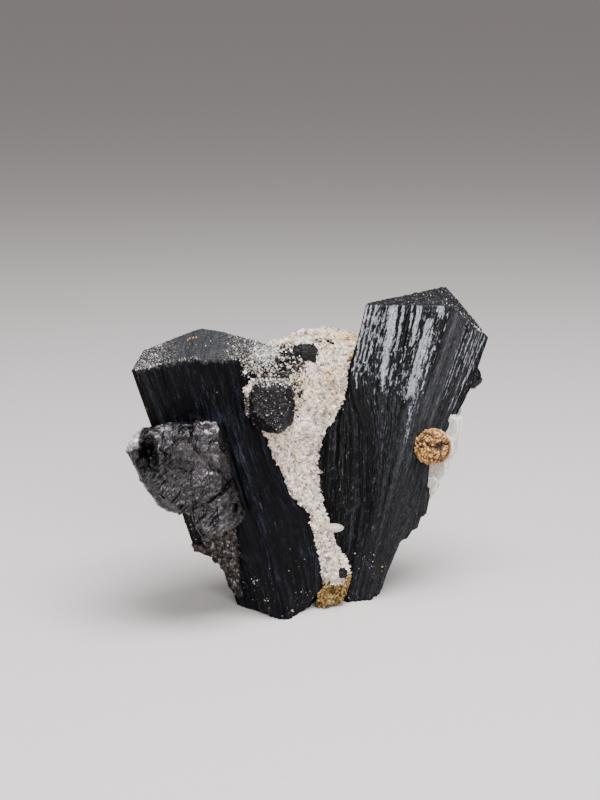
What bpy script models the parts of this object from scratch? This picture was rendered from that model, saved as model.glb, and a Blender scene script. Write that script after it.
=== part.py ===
"""Ilvaite specimen: two striated black prisms in a V, joined by a quartz druse, with smaller minerals on them.

Lengths are millimetres until mesh_object turns them to metres. X runs to the right, Y away from the viewer and
Z up. Both big crystals are cut flat at Z = 0, where the specimen rests.
"""

import math
import random

import bmesh
import bpy
import numpy as np
from mathutils import Matrix, Vector, noise
from mathutils.geometry import delaunay_2d_cdt

MM = 0.001
# The room left between neighbouring pieces, and the middle of the specimen's box in x and y.
GAP = 0.35
CENTRE = (7.25, 15.69)

# Each corner of a prism is a line of (height, x, y) points. The corners go round counter-clockwise from above.
LEFT_CORNERS = (
    ((0, -10.6, 12.4), (6, -12.0, 11.0), (13, -14.5, 9.5), (15.5, -20.2, 8.0), (66, -36.0, 3.6)),
    ((0, 0.3, 2.0), (66, -17.8, -4.2)),
    (
        (0, 4.6, 8.5), (5, 8.7, 10.0), (13, 8.2, 10.0), (22.5, 6.2, 9.0),
        (28.5, 2.6, 7.5), (38.6, -1.0, 6.0), (66, -5.0, 6.0),
    ),
    ((0, 8.0, 20.0), (66, -1.5, 20.0)),
    ((0, -1.0, 25.5), (66, -16.0, 27.5)),
    ((0, -11.0, 20.5), (15, -17.5, 20.0), (66, -33.2, 12.5)),
)
LEFT_STRIPS = (9, 7, 5, 4, 5, 5)
LEFT_HEIGHTS = (0, 5, 9, 13, 15.5, 22.5, 28.5, 34, 39, 46, 46.8, 52, 58, 66)
# Ledges: side, first and last lamella, lowest and highest height, and how far they stand proud.
LEFT_LEDGES = ((0, 5, 8, 0, 46, 0.5), (1, 1, 2, 0, 28.5, 0.5), (1, 4, 5, 13, 66, 0.45), (0, 1, 2, 52, 66, 0.35))
# Terminations: a point on each cutting plane, and the plane's outward normal.
LEFT_TOP_PLANES = (
    ((-16.1, -4.0, 59.9), (-0.347, -0.205, 0.915)),
    ((-12.0, 14.0, 62.4), (0.33, -0.25, 1.0)),
    ((-16.1, -4.0, 58.8), (0.0, -0.21, 0.978)),
    ((-16.1, 14.0, 62.8), (0.25, 0.40, 0.88)),
    ((-22.0, 14.0, 61.6), (-0.35, 0.35, 0.87)),
)

RIGHT_CORNERS = (
    ((0, 9.8, 20.0), (24, 6.5, 20.5), (40, 8.0, 21.0), (50, 14.0, 24.0), (74, 24.0, 33.0)),
    ((0, 14.0, 14.2), (24, 17.8, 16.0), (40, 17.6, 18.0), (46, 15.4, 18.8), (51, 14.7, 19.6), (74, 20.1, 27.0)),
    ((0, 19.1, 15.5), (25, 24.9, 16.2), (43, 29.9, 18.0), (74, 40.6, 27.4)),
    ((0, 21.0, 18.5), (24, 30.1, 19.5), (39.5, 34.4, 22.0), (74, 47.8, 32.5)),
    (
        (0, 22.5, 25.0), (5, 23.8, 25.0), (9.3, 25.9, 25.3), (11.8, 26.9, 25.6), (14, 29.4, 25.9),
        (17, 31.3, 26.0), (22, 33.0, 26.0), (30, 33.6, 27.5), (44, 41.9, 31.0), (74, 53.6, 40.0),
    ),
    ((0, 18.0, 32.0), (74, 43.5, 43.0)),
    ((0, 9.5, 29.0), (74, 24.0, 42.0)),
)
RIGHT_STRIPS = (4, 9, 3, 5, 4, 4, 4)
RIGHT_HEIGHTS = (0, 5, 9.3, 11.8, 14, 17, 22, 30, 37, 44.3, 45, 51, 57, 64, 74)
RIGHT_LEDGES = (
    (1, 6, 6, 45, 74, 0.8),
    (1, 2, 3, 22, 52, 0.5),
    (1, 7, 8, 5, 30, 0.5),
    (3, 1, 1, 12, 26, -0.7),
    (1, 1, 1, 48, 74, 0.4),
)
STRIA_DEPTH = {"left": 0.34, "right": 0.36}
RIGHT_TOP_PLANES = (
    ((37.8, 25.0, 66.3), (0.021, -0.112, 1.0)),
    ((37.8, 25.0, 66.3), (1.067, -0.112, 1.0)),
    ((18.7, 25.8, 66.8), (-0.45, 0.46, 0.70)),
    ((37.8, 42.0, 68.2), (-0.1, 0.5, 0.86)),
)
BUMP = {"centre": (43.1, 34.6, 48.1), "radius": 2.7}

# The druse is a loft too. Its corners are left, middle and right of the front, then right and left of the back.
DRUSE_ROWS = (
    (5.4, (8.6, 10.2), (11.0, 10.0), (13.8, 12.5), (14.0, 22.0), (7.0, 22.0)),
    (7.4, (8.3, 9.3), (12.0, 9.2), (14.7, 12.8), (13.0, 22.0), (6.0, 22.0)),
    (10.8, (7.8, 9.0), (11.5, 9.4), (14.0, 13.0), (12.0, 23.0), (5.0, 23.0)),
    (17.0, (7.2, 8.9), (8.8, 9.6), (10.1, 14.0), (10.0, 24.0), (4.0, 24.0)),
    (22.5, (5.6, 7.9), (7.2, 9.2), (8.4, 15.0), (9.0, 25.0), (2.0, 25.0)),
    (28.5, (1.2, 5.6), (5.2, 8.2), (7.0, 16.0), (9.0, 26.0), (0.0, 26.0)),
    (35.4, (-1.6, 4.0), (3.8, 7.2), (7.3, 17.0), (10.0, 27.0), (-3.0, 27.0)),
    (41.3, (-3.8, 2.8), (3.5, 6.8), (10.8, 18.5), (12.0, 28.0), (-5.0, 28.0)),
    (46.0, (-7.0, 0.4), (4.0, 7.4), (12.8, 19.5), (14.0, 29.0), (-6.0, 29.0)),
    (51.9, (-8.0, -0.4), (4.5, 9.5), (14.2, 21.0), (16.0, 30.0), (-7.0, 30.0)),
    (55.5, (-5.8, 3.4), (4.0, 14.0), (15.6, 23.0), (18.0, 31.0), (-6.0, 30.0)),
    (58.0, (0.5, 18.0), (7.0, 20.0), (16.0, 24.0), (19.0, 31.0), (0.0, 30.0)),
    (59.6, (4.0, 25.0), (8.0, 24.0), (14.5, 27.0), (15.0, 31.5), (4.0, 31.0)),
)
DRUSE_GRAIN = 2.5
DRUSE_SWELL = {"width": 4.5, "height": 0.9}
DRUSE_JAG = {"out": 0.5, "aside": 0.25}
KNOB = {"centre": (11.2, 11.9, 18.2), "radii": (2.4, 1.6, 1.1)}

# Fracture surfaces are given by the outline of the mass as the viewer sees it, in x and z.
BLOCK_OUTLINE = (
    (-32.8, 41.0), (-32.0, 43.4), (-29.2, 44.0), (-27.8, 45.2), (-23.3, 45.6), (-18.0, 46.0), (-14.1, 45.7),
    (-12.0, 41.0), (-10.9, 34.5), (-10.7, 32.0), (-9.2, 28.5), (-8.3, 24.4), (-12.6, 22.6), (-16.6, 20.8),
    (-18.4, 23.0), (-19.3, 26.9), (-24.6, 26.6), (-27.0, 28.2), (-29.8, 33.0), (-31.2, 37.0),
)
# Facets of the block's face: the depth at a point, the point's x and z, and the depth's slopes in x and z.
BLOCK_FACETS = (
    (-8.6, (-22.0, 37.0), (0.12, 0.06)),
    (-9.2, (-14.4, 40.0), (1.7, 0.136)),
    (-8.4, (-25.6, 31.0), (-0.735, -0.746)),
    (-8.6, (-22.0, 43.6), (0.108, 0.9)),
)
LOBE_FACET = (-8.0, (-14.0, 27.0), (0.10, -0.07))
LOBE_RISE = 2.6
BLOCK_HOLLOW = {"x": -28.3, "z": 39.5, "half_width": 2.2, "half_height": 5.0, "depth": 4.2}
# The cleft between the block and its lower lobe rises to the right, and is deeper right of its left end.
CLEFT = {"x": -14.0, "z": 31.0, "slope": 0.45, "left_end": -16.5, "half_width": 0.7, "depth": 0.9}
BLOCK_STEPS = {"width": 4.6, "height": 3.4, "slant": 0.065, "depth": 0.8}
BLOCK_RIPPLE = {"width": 2.4, "depth": 0.35}
BLOCK_GRID = 1.7
BLOCK_BACK = 7.5
# A mass narrows by this much towards its buried back.
BACK_SCALE = 0.86
MATRIX_OUTLINE = (
    (-17.6, 22.6), (-14.0, 23.6), (-10.4, 24.0), (-9.9, 17.0), (-9.8, 9.0), (-8.9, 2.8), (-10.9, 2.2),
    (-12.6, 6.0), (-14.2, 10.0), (-16.2, 12.2), (-19.9, 13.4), (-20.6, 15.2), (-17.8, 16.2),
)
MATRIX_CRUST = {"rise": 1.5, "lump": 1.1, "width": 2.2, "grid": 1.9, "back": 13.0}
BALL = {"centre": (33.4, 17.7, 35.4), "radius": 4.0}
CALCITE_BLADES = (
    {"centre": (39.2, 30.6, 40.6), "size": (3.2, 2.4, 6.0), "lean": 6},
    {"centre": (38.6, 29.4, 37.0), "size": (5.0, 3.4, 7.4), "lean": 14},
    {"centre": (37.1, 28.5, 32.6), "size": (6.2, 3.8, 8.6), "lean": 20},
    {"centre": (35.2, 27.6, 28.2), "size": (6.4, 3.8, 7.8), "lean": 26},
    {"centre": (33.7, 27.2, 23.9), "size": (4.0, 3.4, 7.4), "lean": 24},
)
# A blade's outline, as shares of its width and height.
BLADE_SHAPE = ((-0.5, -0.35), (-0.15, -0.5), (0.35, -0.38), (0.5, 0.05), (0.28, 0.42), (-0.1, 0.5), (-0.5, 0.3))
SMALL_CRYSTAL = {
    "face": ((-6.6, 50.6), (-4.2, 52.6), (0.2, 52.4), (1.2, 49.4), (0.9, 45.6), (-1.2, 43.8), (-6.0, 48.0)),
    "rim": (
        (-8.1, 50.9), (-4.9, 54.0), (0.9, 53.8), (2.4, 50.0),
        (2.2, 44.8), (-0.8, 42.2), (-5.4, 43.2), (-7.9, 47.2),
    ),
    "face_depth": -3.0,
    "rim_depth": 0.4,
    "back_depth": 8.5,
}
STAINED_OUTLINE = (
    (7.0, 0.4), (7.6, 4.0), (9.4, 5.9), (11.4, 6.6), (13.9, 7.4), (15.2, 6.6), (14.6, 3.6), (12.6, 0.5),
)
STAINED_FRONT = {"y": 9.6, "turn_x": 9.0, "slope": 0.45, "lump": 0.9, "width": 1.6, "grid": 1.5, "back": 20.0}
TOP_CRYSTAL = {"centre": (4.8, 17.8, 56.8), "size": (6.6, 4.6, 3.8), "turn": 20}
FOOT_CRYSTAL = {"centre": (13.1, 9.9, 8.4), "size": (2.2, 2.4, 2.0), "turn": 10}

# Each material's base colour, roughness and metallic value.
COLOURS = {
    "ilvaite": ((0.012, 0.012, 0.017), 0.34, 0.0),
    "drusy_ilvaite": ((0.03, 0.026, 0.028), 0.4, 0.0),
    "quartz": ((0.83, 0.76, 0.68), 0.45, 0.0),
    "broken_mineral": ((0.10, 0.09, 0.10), 0.35, 0.3),
    "rough_matrix": ((0.19, 0.15, 0.13), 0.8, 0.0),
    "siderite": ((0.58, 0.34, 0.13), 0.75, 0.0),
    "calcite": ((0.85, 0.80, 0.76), 0.3, 0.0),
    "stained_matrix": ((0.36, 0.22, 0.08), 0.85, 0.0),
}


def clear_scene():
    for obj in list(bpy.data.objects):
        bpy.data.objects.remove(obj, do_unlink=True)


def material(name):
    """A Principled material from the colour table, made once."""
    if name in bpy.data.materials:
        return bpy.data.materials[name]
    colour, roughness, metallic = COLOURS[name]
    made = bpy.data.materials.new(name)
    made.use_nodes = True
    shader = made.node_tree.nodes["Principled BSDF"]
    shader.inputs["Base Color"].default_value = (*colour, 1)
    shader.inputs["Roughness"].default_value = roughness
    shader.inputs["Metallic"].default_value = metallic
    return made


def mesh_object(name, bm, material_name):
    """Puts a bmesh in millimetres into an object in metres, moved so that the specimen's box is centred."""
    bmesh.ops.triangulate(bm, faces=bm.faces[:])
    bmesh.ops.recalc_face_normals(bm, faces=bm.faces[:])
    bmesh.ops.translate(bm, verts=bm.verts[:], vec=(-CENTRE[0], -CENTRE[1], 0))
    bmesh.ops.scale(bm, verts=bm.verts[:], vec=(MM, MM, MM))
    mesh = bpy.data.meshes.new(name)
    bm.to_mesh(mesh)
    bm.free()
    mesh.materials.append(material(material_name))
    obj = bpy.data.objects.new(name, mesh)
    bpy.context.scene.collection.objects.link(obj)
    return obj


def as_cutter(obj):
    obj.hide_render = True
    obj.display_type = "WIRE"
    return obj


def grown(obj):
    """A hidden copy of a piece, larger by the gap, that keeps its neighbour clear of it."""
    bm = bmesh.new()
    bm.from_mesh(obj.data)
    bm.normal_update()
    moves = [vert.normal * GAP * MM for vert in bm.verts]
    for vert, move in zip(bm.verts, moves):
        vert.co += move
    mesh = bpy.data.meshes.new(obj.name + "_room")
    bm.to_mesh(mesh)
    bm.free()
    copy = bpy.data.objects.new(obj.name + "_room", mesh)
    bpy.context.scene.collection.objects.link(copy)
    return as_cutter(copy)


def combine(obj, other, operation, solver="EXACT"):
    modifier = obj.modifiers.new(operation.lower() + "_" + other.name, "BOOLEAN")
    modifier.object = other
    modifier.operation = operation
    modifier.solver = solver


def islands(bm):
    """The separate bodies of a bmesh, as lists of faces."""
    left = set(bm.faces)
    found = []
    while left:
        body = []
        todo = [left.pop()]
        while todo:
            face = todo.pop()
            body.append(face)
            for edge in face.edges:
                for near in edge.link_faces:
                    if near in left:
                        left.remove(near)
                        todo.append(near)
        found.append(body)
    return found


def settle(obj):
    """Applies a piece's Booleans and keeps its largest body, so that no shard is left behind a neighbour."""
    graph = bpy.context.evaluated_depsgraph_get()
    cut = bpy.data.meshes.new_from_object(obj.evaluated_get(graph))
    obj.modifiers.clear()
    bm = bmesh.new()
    bm.from_mesh(cut)
    bmesh.ops.triangulate(bm, faces=bm.faces[:])
    bodies = sorted(islands(bm), key=lambda faces: sum(face.calc_area() for face in faces))
    for body in bodies[:-1]:
        bmesh.ops.delete(bm, geom=body, context="FACES")
    bm.to_mesh(obj.data)
    bm.free()
    bpy.data.meshes.remove(cut)


def corner_lines(corners, heights):
    """The corners at each height, as an array of heights by corners by x, y."""
    lines = []
    for line in corners:
        levels, xs, ys = np.array(line, float).T
        lines.append(np.stack([np.interp(heights, levels, xs), np.interp(heights, levels, ys)], axis=1))
    return np.stack(lines, axis=1)


def loft(corners, profiles, heights, offset):
    """A closed body over a stack of outlines. A profile is where a side's points are, as shares of its length.
    offset(side, index, height) gives how far a point is pushed along its side and out of it."""
    heights = np.array(heights, float)
    outline = corner_lines(corners, heights)
    bm = bmesh.new()
    rings = []
    for row, height in enumerate(heights):
        ring = []
        for side, shares in enumerate(profiles):
            start = outline[row, side]
            along = outline[row, (side + 1) % len(profiles)] - start
            normal = np.array([along[1], -along[0]]) / np.linalg.norm(along)
            for index, share in enumerate(shares):
                slide, out = offset(side, index, height)
                ring.append(bm.verts.new((*(start + along * (share + slide) + normal * out), height)))
        rings.append(ring)
    count = len(rings[0])
    for low, high in zip(rings, rings[1:]):
        for i in range(count):
            j = (i + 1) % count
            bm.faces.new((low[i], low[j], high[j], high[i]))
    bm.faces.new(rings[0][::-1])
    bm.faces.new(rings[-1])
    return bm


def cut_plane(bm, point, normal):
    """Cuts away what is beyond a plane and closes the cut with one flat face."""
    geometry = bm.verts[:] + bm.edges[:] + bm.faces[:]
    found = bmesh.ops.bisect_plane(
        bm, geom=geometry, dist=1e-5, plane_co=Vector(point), plane_no=Vector(normal), clear_outer=True
    )
    rim = [item for item in found["geom_cut"] if isinstance(item, bmesh.types.BMEdge)]
    bmesh.ops.contextual_create(bm, geom=rim)


def lamella_profiles(strips, seed):
    """Each side's points: its corner, then two points for each lamella, whose widths are uneven."""
    spread = random.Random(seed)
    profiles = []
    for count in strips:
        widths = [spread.uniform(0.5, 1.6) for _ in range(count)]
        edges = np.concatenate([[0], np.cumsum(widths)]) / sum(widths)
        shares = [0.0]
        for low, high in zip(edges, edges[1:]):
            shares += [low + 0.14 * (high - low), high - 0.14 * (high - low)]
        profiles.append(shares)
    return profiles


def striae(strips, ledges, depth, seed):
    """Flat lamellae of uneven height that run up the faces and wander a little, some ending in a step."""
    spread = random.Random(seed)
    heights_out = [[spread.uniform(-1, 1) for _ in range(count)] for count in strips]

    def offset(side, index, height):
        if index == 0:
            return 0.0, 0.0
        lamella = (index - 1) // 2
        swing = noise.noise(Vector((lamella * 3.7 + seed, side * 5.1, height / 15)))
        slide = 0.22 / strips[side] * noise.noise(Vector((index // 2 * 2.9, side * 4.3 + seed, height / 18)))
        out = depth * (heights_out[side][lamella] + 1.1 * swing)
        for face, first, last, low, high, rise in ledges:
            if side == face and first <= lamella <= last and low <= height <= high:
                out += rise
        return slide, out

    return offset


def prism(corners, strips, heights, ledges, depth, seed):
    return loft(corners, lamella_profiles(strips, seed), heights, striae(strips, ledges, depth, seed))


def make_left_crystal():
    bm = prism(LEFT_CORNERS, LEFT_STRIPS, LEFT_HEIGHTS, LEFT_LEDGES, STRIA_DEPTH["left"], 1)
    for point, normal in LEFT_TOP_PLANES:
        cut_plane(bm, point, normal)
    return mesh_object("left_ilvaite_crystal", bm, "ilvaite")


def make_right_crystal():
    bm = prism(RIGHT_CORNERS, RIGHT_STRIPS, RIGHT_HEIGHTS, RIGHT_LEDGES, STRIA_DEPTH["right"], 7)
    for point, normal in RIGHT_TOP_PLANES:
        cut_plane(bm, point, normal)
    crystal = mesh_object("right_ilvaite_crystal", bm, "ilvaite")
    bump = make_lump("edge_bump", BUMP["centre"], (BUMP["radius"],) * 3, 2, 0.12, "ilvaite")
    combine(crystal, as_cutter(bump), "UNION", "MANIFOLD")
    return crystal


def make_lump(name, centre, radii, subdivisions, roughness, material_name):
    """A rounded lump with an uneven surface."""
    bm = bmesh.new()
    bmesh.ops.create_icosphere(bm, subdivisions=subdivisions, radius=1)
    for vert in bm.verts:
        direction = vert.co.copy()
        swell = 1 + roughness * noise.noise(direction * 2.3 + Vector(centre))
        vert.co = Vector(centre) + Vector(r * d for r, d in zip(radii, direction)) * swell
    return mesh_object(name, bm, material_name)


def remesh(obj, size):
    """Evens a mesh out into small faces of one size, so that grains can be raised on it."""
    modifier = obj.modifiers.new("even_faces", "REMESH")
    modifier.mode = "VOXEL"
    modifier.voxel_size = size * MM
    settle(obj)


def make_druse():
    """The crust in the V, with a jagged surface of coarse points."""
    rows = DRUSE_ROWS
    corners = [[(row[0], *row[corner + 1]) for row in rows] for corner in range(len(rows[0]) - 1)]
    heights = [row[0] for row in rows]
    bm = loft(corners, [[0.0, 0.5]] * len(corners), heights, lambda side, index, height: (0.0, 0.4 * index))
    druse = mesh_object("quartz_druse", bm, "quartz")
    remesh(druse, DRUSE_GRAIN)
    spread = random.Random(5)
    out, aside = DRUSE_JAG["out"], DRUSE_JAG["aside"]
    for vert in druse.data.vertices:
        swell = DRUSE_SWELL["height"] * noise.noise(vert.co / (DRUSE_SWELL["width"] * MM))
        vert.co += vert.normal * (swell + spread.uniform(-out, out)) * MM
        vert.co += Vector([spread.uniform(-aside, aside) * MM for _ in range(3)])
    knob = make_lump("druse_knob", KNOB["centre"], KNOB["radii"], 2, 0.1, "quartz")
    combine(druse, as_cutter(knob), "UNION", "MANIFOLD")
    return druse


def inside(point, outline):
    x, z = point
    found = False
    for (x0, z0), (x1, z1) in zip(outline, outline[1:] + outline[:1]):
        if (z0 > z) != (z1 > z) and x < x0 + (z - z0) * (x1 - x0) / (z1 - z0):
            found = not found
    return found


def edge_distance(point, outline):
    here = Vector(point)
    nearest = 1e9
    for start, end in zip(outline, outline[1:] + outline[:1]):
        a, b = Vector(start), Vector(end)
        t = max(0.0, min(1.0, (here - a).dot(b - a) / (b - a).length_squared))
        nearest = min(nearest, (here - a - t * (b - a)).length)
    return nearest


def relief(outline, grid, front, back, seed):
    """A mass with this outline in x and z. front(x, z) gives its broken face's depth, and its back is flat."""
    spread = random.Random(seed)
    rim = []
    for (x0, z0), (x1, z1) in zip(outline, outline[1:] + outline[:1]):
        pieces = max(1, round(math.hypot(x1 - x0, z1 - z0) / (grid * 1.3)))
        for i in range(pieces):
            rim.append((x0 + (x1 - x0) * i / pieces, z0 + (z1 - z0) * i / pieces))
    points = list(rim)
    xs, zs = zip(*outline)
    for x in np.arange(min(xs), max(xs), grid):
        for z in np.arange(min(zs), max(zs), grid):
            spot = (x + spread.uniform(-0.4, 0.4) * grid, z + spread.uniform(-0.4, 0.4) * grid)
            if inside(spot, outline) and edge_distance(spot, outline) > 0.45 * grid:
                points.append(spot)
    flat = delaunay_2d_cdt([Vector(p) for p in points], [], [list(range(len(rim)))], 1, 1e-6)
    centre = Vector((sum(xs) / len(xs), back, sum(zs) / len(zs)))
    bm = bmesh.new()
    face_verts = [bm.verts.new((p.x, front(p.x, p.y), p.y)) for p in flat[0]]
    for triangle in flat[2]:
        bm.faces.new([face_verts[i] for i in triangle])
    border = [edge for edge in bm.edges if len(edge.link_faces) == 1]
    wall = bmesh.ops.extrude_edge_only(bm, edges=border)["geom"]
    moved = [item for item in wall if isinstance(item, bmesh.types.BMVert)]
    for vert in moved:
        vert.co.y = back
        vert.co = centre + (vert.co - centre) * BACK_SCALE
    wall_edges = [item for item in wall if isinstance(item, bmesh.types.BMEdge)]
    back_edges = [edge for edge in wall_edges if all(vert in moved for vert in edge.verts)]
    bmesh.ops.contextual_create(bm, geom=back_edges)
    return bm


def facet_depth(facet, x, z):
    depth, (x0, z0), (slope_x, slope_z) = facet
    return depth + slope_x * (x - x0) + slope_z * (z - z0)


def block_front(x, z):
    """Depth of the block's face: a few flat facets, the furthest back of them at each point, with steps."""
    depth = max(facet_depth(facet, x, z) for facet in BLOCK_FACETS)
    across = (x - BLOCK_HOLLOW["x"]) / BLOCK_HOLLOW["half_width"]
    up = (z - BLOCK_HOLLOW["z"]) / BLOCK_HOLLOW["half_height"]
    depth += BLOCK_HOLLOW["depth"] * (1 - min(1.0, math.hypot(across, up)))
    above_cleft = z - CLEFT["z"] - CLEFT["slope"] * (x - CLEFT["x"])
    if above_cleft < CLEFT["half_width"]:
        depth = max(facet_depth(LOBE_FACET, x, z), depth - LOBE_RISE)
        if above_cleft > -CLEFT["half_width"] and x > CLEFT["left_end"]:
            depth += CLEFT["depth"]
    row = z / BLOCK_STEPS["height"] + BLOCK_STEPS["slant"] * x
    step = noise.cell(Vector((x / BLOCK_STEPS["width"], row, 4.0)))
    ripple = noise.noise(Vector((x / BLOCK_RIPPLE["width"], z / BLOCK_RIPPLE["width"], 1.0)))
    return depth + BLOCK_STEPS["depth"] * step + BLOCK_RIPPLE["depth"] * ripple


def make_block():
    bm = relief(BLOCK_OUTLINE, BLOCK_GRID, block_front, BLOCK_BACK, 3)
    return mesh_object("broken_block", bm, "broken_mineral")


def left_face_depth(x, z):
    """Depth of the left crystal's front left side at a place, before its striae."""
    (left_x, left_y), (front_x, front_y) = corner_lines(LEFT_CORNERS[:2], [z])[0]
    share = (x - left_x) / (front_x - left_x)
    return left_y + (front_y - left_y) * max(share, 0.0) - 2.0 * min(share, 0.0)


def matrix_front(x, z):
    """The rough crust stands a little proud of the crystal's side."""
    lump = noise.noise(Vector((x / MATRIX_CRUST["width"], z / MATRIX_CRUST["width"], 8.0)))
    return left_face_depth(x, z) - MATRIX_CRUST["rise"] + MATRIX_CRUST["lump"] * lump


def make_matrix():
    bm = relief(MATRIX_OUTLINE, MATRIX_CRUST["grid"], matrix_front, MATRIX_CRUST["back"], 11)
    return mesh_object("rough_matrix", bm, "rough_matrix")


def stained_front(x, z):
    """An earthy face that turns back to the right."""
    turn = STAINED_FRONT["slope"] * max(0.0, x - STAINED_FRONT["turn_x"])
    lump = noise.noise(Vector((x / STAINED_FRONT["width"], z / STAINED_FRONT["width"], 3.0)))
    return STAINED_FRONT["y"] + turn + STAINED_FRONT["lump"] * lump


def make_stained_matrix():
    bm = relief(STAINED_OUTLINE, STAINED_FRONT["grid"], stained_front, STAINED_FRONT["back"], 17)
    return mesh_object("stained_matrix", bm, "stained_matrix")


def make_hull(name, points, material_name):
    bm = bmesh.new()
    for point in points:
        bm.verts.new(point)
    made = bmesh.ops.convex_hull(bm, input=bm.verts[:])
    bmesh.ops.delete(bm, geom=list(set(made["geom_interior"])), context="VERTS")
    return mesh_object(name, bm, material_name)


def make_small_crystal():
    """A stubby crystal: a flat front face inside a wider rim, and a shank that is buried in the druse."""
    shape = SMALL_CRYSTAL
    points = [(x, shape["face_depth"] + 0.12 * (z - 48), z) for x, z in shape["face"]]
    points += [(x, shape["rim_depth"] + 0.1 * (x + 3), z) for x, z in shape["rim"]]
    points += [(x, shape["back_depth"], z) for x, z in shape["rim"]]
    return make_hull("small_ilvaite_crystal", points, "drusy_ilvaite")


def crystal_points(centre, size, turn):
    """The corners of a small six-sided prism whose top is bevelled all round."""
    width, depth, height = size
    spin = Matrix.Rotation(math.radians(turn), 3, "Z")
    points = []
    for level, scale in ((-0.5, 1.0), (0.15, 1.0), (0.5, 0.55)):
        for step in range(6):
            angle = math.tau * step / 6
            flat = Vector((scale * width / 2 * math.cos(angle), scale * depth / 2 * math.sin(angle), 0))
            points.append(Vector(centre) + spin @ flat + Vector((0, 0, level * height)))
    return points


def make_ball():
    """A granular spherule with a pit in the middle of its front."""
    centre = Vector(BALL["centre"])
    bm = bmesh.new()
    bmesh.ops.create_icosphere(bm, subdivisions=3, radius=1)
    for vert in bm.verts:
        direction = vert.co.copy()
        grain = 0.11 * noise.noise(direction * 5 + Vector((3, 1, 2)))
        pit = 0.16 * max(0.0, 1 - (direction - Vector((0.1, -0.98, 0.15))).length / 0.5)
        vert.co = centre + direction * BALL["radius"] * (1 + grain - pit)
    ball = mesh_object("siderite_ball", bm, "siderite")
    ball.data.shade_smooth()
    return ball


def make_calcite():
    """Thin blades that overlap up the crystal's edge, joined in one cluster."""
    cluster = None
    for index, blade in enumerate(CALCITE_BLADES):
        width, depth, height = blade["size"]
        lean = Matrix.Rotation(math.radians(blade["lean"]), 3, "Y")
        points = []
        for side in (-0.5, 0.5):
            for across, up in BLADE_SHAPE:
                taper = 1 - 0.5 * abs(across)
                local = Vector((across * width, side * depth * taper, up * height))
                points.append(Vector(blade["centre"]) + lean @ local)
        made = make_hull(f"calcite_blade_{index}", points, "calcite")
        if cluster is None:
            cluster = made
            cluster.name = "calcite_blades"
        else:
            combine(cluster, as_cutter(made), "UNION", "MANIFOLD")
    return cluster


def main():
    clear_scene()
    left = make_left_crystal()
    right = make_right_crystal()
    small = make_small_crystal()
    druse = make_druse()
    block = make_block()
    matrix = make_matrix()
    stained = make_stained_matrix()
    ball = make_ball()
    calcite = make_calcite()
    top = make_hull("druse_top_crystal", crystal_points(**TOP_CRYSTAL), "drusy_ilvaite")
    foot = make_hull("druse_foot_crystal", crystal_points(**FOOT_CRYSTAL), "drusy_ilvaite")
    room = {piece.name: grown(piece) for piece in (left, right, small, druse, block, ball, top, foot)}
    clear_of = (
        (small, (left,)),
        (foot, (left, right)),
        (top, (left, right)),
        (druse, (left, right, small, top, foot)),
        (block, (left,)),
        (matrix, (left, block)),
        (stained, (left, right, druse, foot)),
        (ball, (right,)),
        (calcite, (right, ball)),
    )
    for piece, neighbours in clear_of:
        for neighbour in neighbours:
            combine(piece, room[neighbour.name], "DIFFERENCE", "MANIFOLD")
    for piece in (right, *(piece for piece, _ in clear_of)):
        settle(piece)


main()
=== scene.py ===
import math
import random

import bpy
import numpy as np
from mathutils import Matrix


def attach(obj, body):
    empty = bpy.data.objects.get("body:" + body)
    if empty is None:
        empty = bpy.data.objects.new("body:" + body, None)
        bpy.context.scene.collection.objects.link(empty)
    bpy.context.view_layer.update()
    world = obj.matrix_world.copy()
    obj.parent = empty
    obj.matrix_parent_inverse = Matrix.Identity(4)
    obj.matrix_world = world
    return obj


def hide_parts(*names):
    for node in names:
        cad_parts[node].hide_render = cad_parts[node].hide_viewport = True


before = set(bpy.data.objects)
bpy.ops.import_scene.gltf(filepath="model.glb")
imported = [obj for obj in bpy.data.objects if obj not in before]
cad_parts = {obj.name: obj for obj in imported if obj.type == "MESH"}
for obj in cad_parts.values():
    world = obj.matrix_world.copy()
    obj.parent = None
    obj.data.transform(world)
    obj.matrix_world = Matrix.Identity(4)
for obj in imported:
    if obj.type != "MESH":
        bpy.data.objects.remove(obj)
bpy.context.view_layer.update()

# Places are millimetres: x to the right, y away from the viewer, z up from the rest plane. toFrame moves the
# middle of the specimen's box to the origin and turns millimetres into metres.
mm = 0.001
boxMiddle = np.array((7.25, 15.69, 0.0))
# large odd numbers that mix the bits of a cell's place and of a seed
cellFactors = (374761393, 668265263, 1440662683)
seedFactor = 1274126177
mixFactor = 1103515245
lowBits = 0xFFFFFFFF


def toFrame(points):
    return (np.asarray(points, float) - boxMiddle) * mm


def stacked(*parts):
    # numbers and whole arrays side by side, along a new last axis
    return np.stack(np.broadcast_arrays(*parts), axis=-1)


def hashed(cell, seed):
    # a value from -1 to 1 for each whole-number cell: its three numbers are multiplied, added and mixed
    mix = sum(cell[..., i] * factor for i, factor in enumerate(cellFactors)) + seed * seedFactor
    mix = ((mix & lowBits) ^ ((mix & lowBits) >> 13)) * mixFactor
    mix = (mix & lowBits) ^ ((mix & lowBits) >> 16)
    return (mix & 0xFFFF) / 32767.5 - 1


def hashedVector(cell, seed):
    # three such values for each cell
    return stacked(*(hashed(cell, seed + i) for i in range(3)))


def smoothNoise(points, size, seed):
    # random values at the corners of boxes of this size, blended between the eight corners round each point
    places = np.asarray(points, float) / size
    base = np.floor(places).astype(np.int64)
    part = places - base
    part = part * part * (3 - 2 * part)
    total = np.zeros(places.shape[:-1])
    for corner in np.ndindex(2, 2, 2):
        weight = np.prod(np.where(np.array(corner), part, 1 - part), axis=-1)
        total += weight * hashed(base + np.array(corner), seed)
    return total


def roughNoise(points, size, seed, layers=3):
    # smooth noise, with layers of half the size and half the height added
    return sum(smoothNoise(points, size / 2**i, seed + i) / 2**i for i in range(layers))


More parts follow.
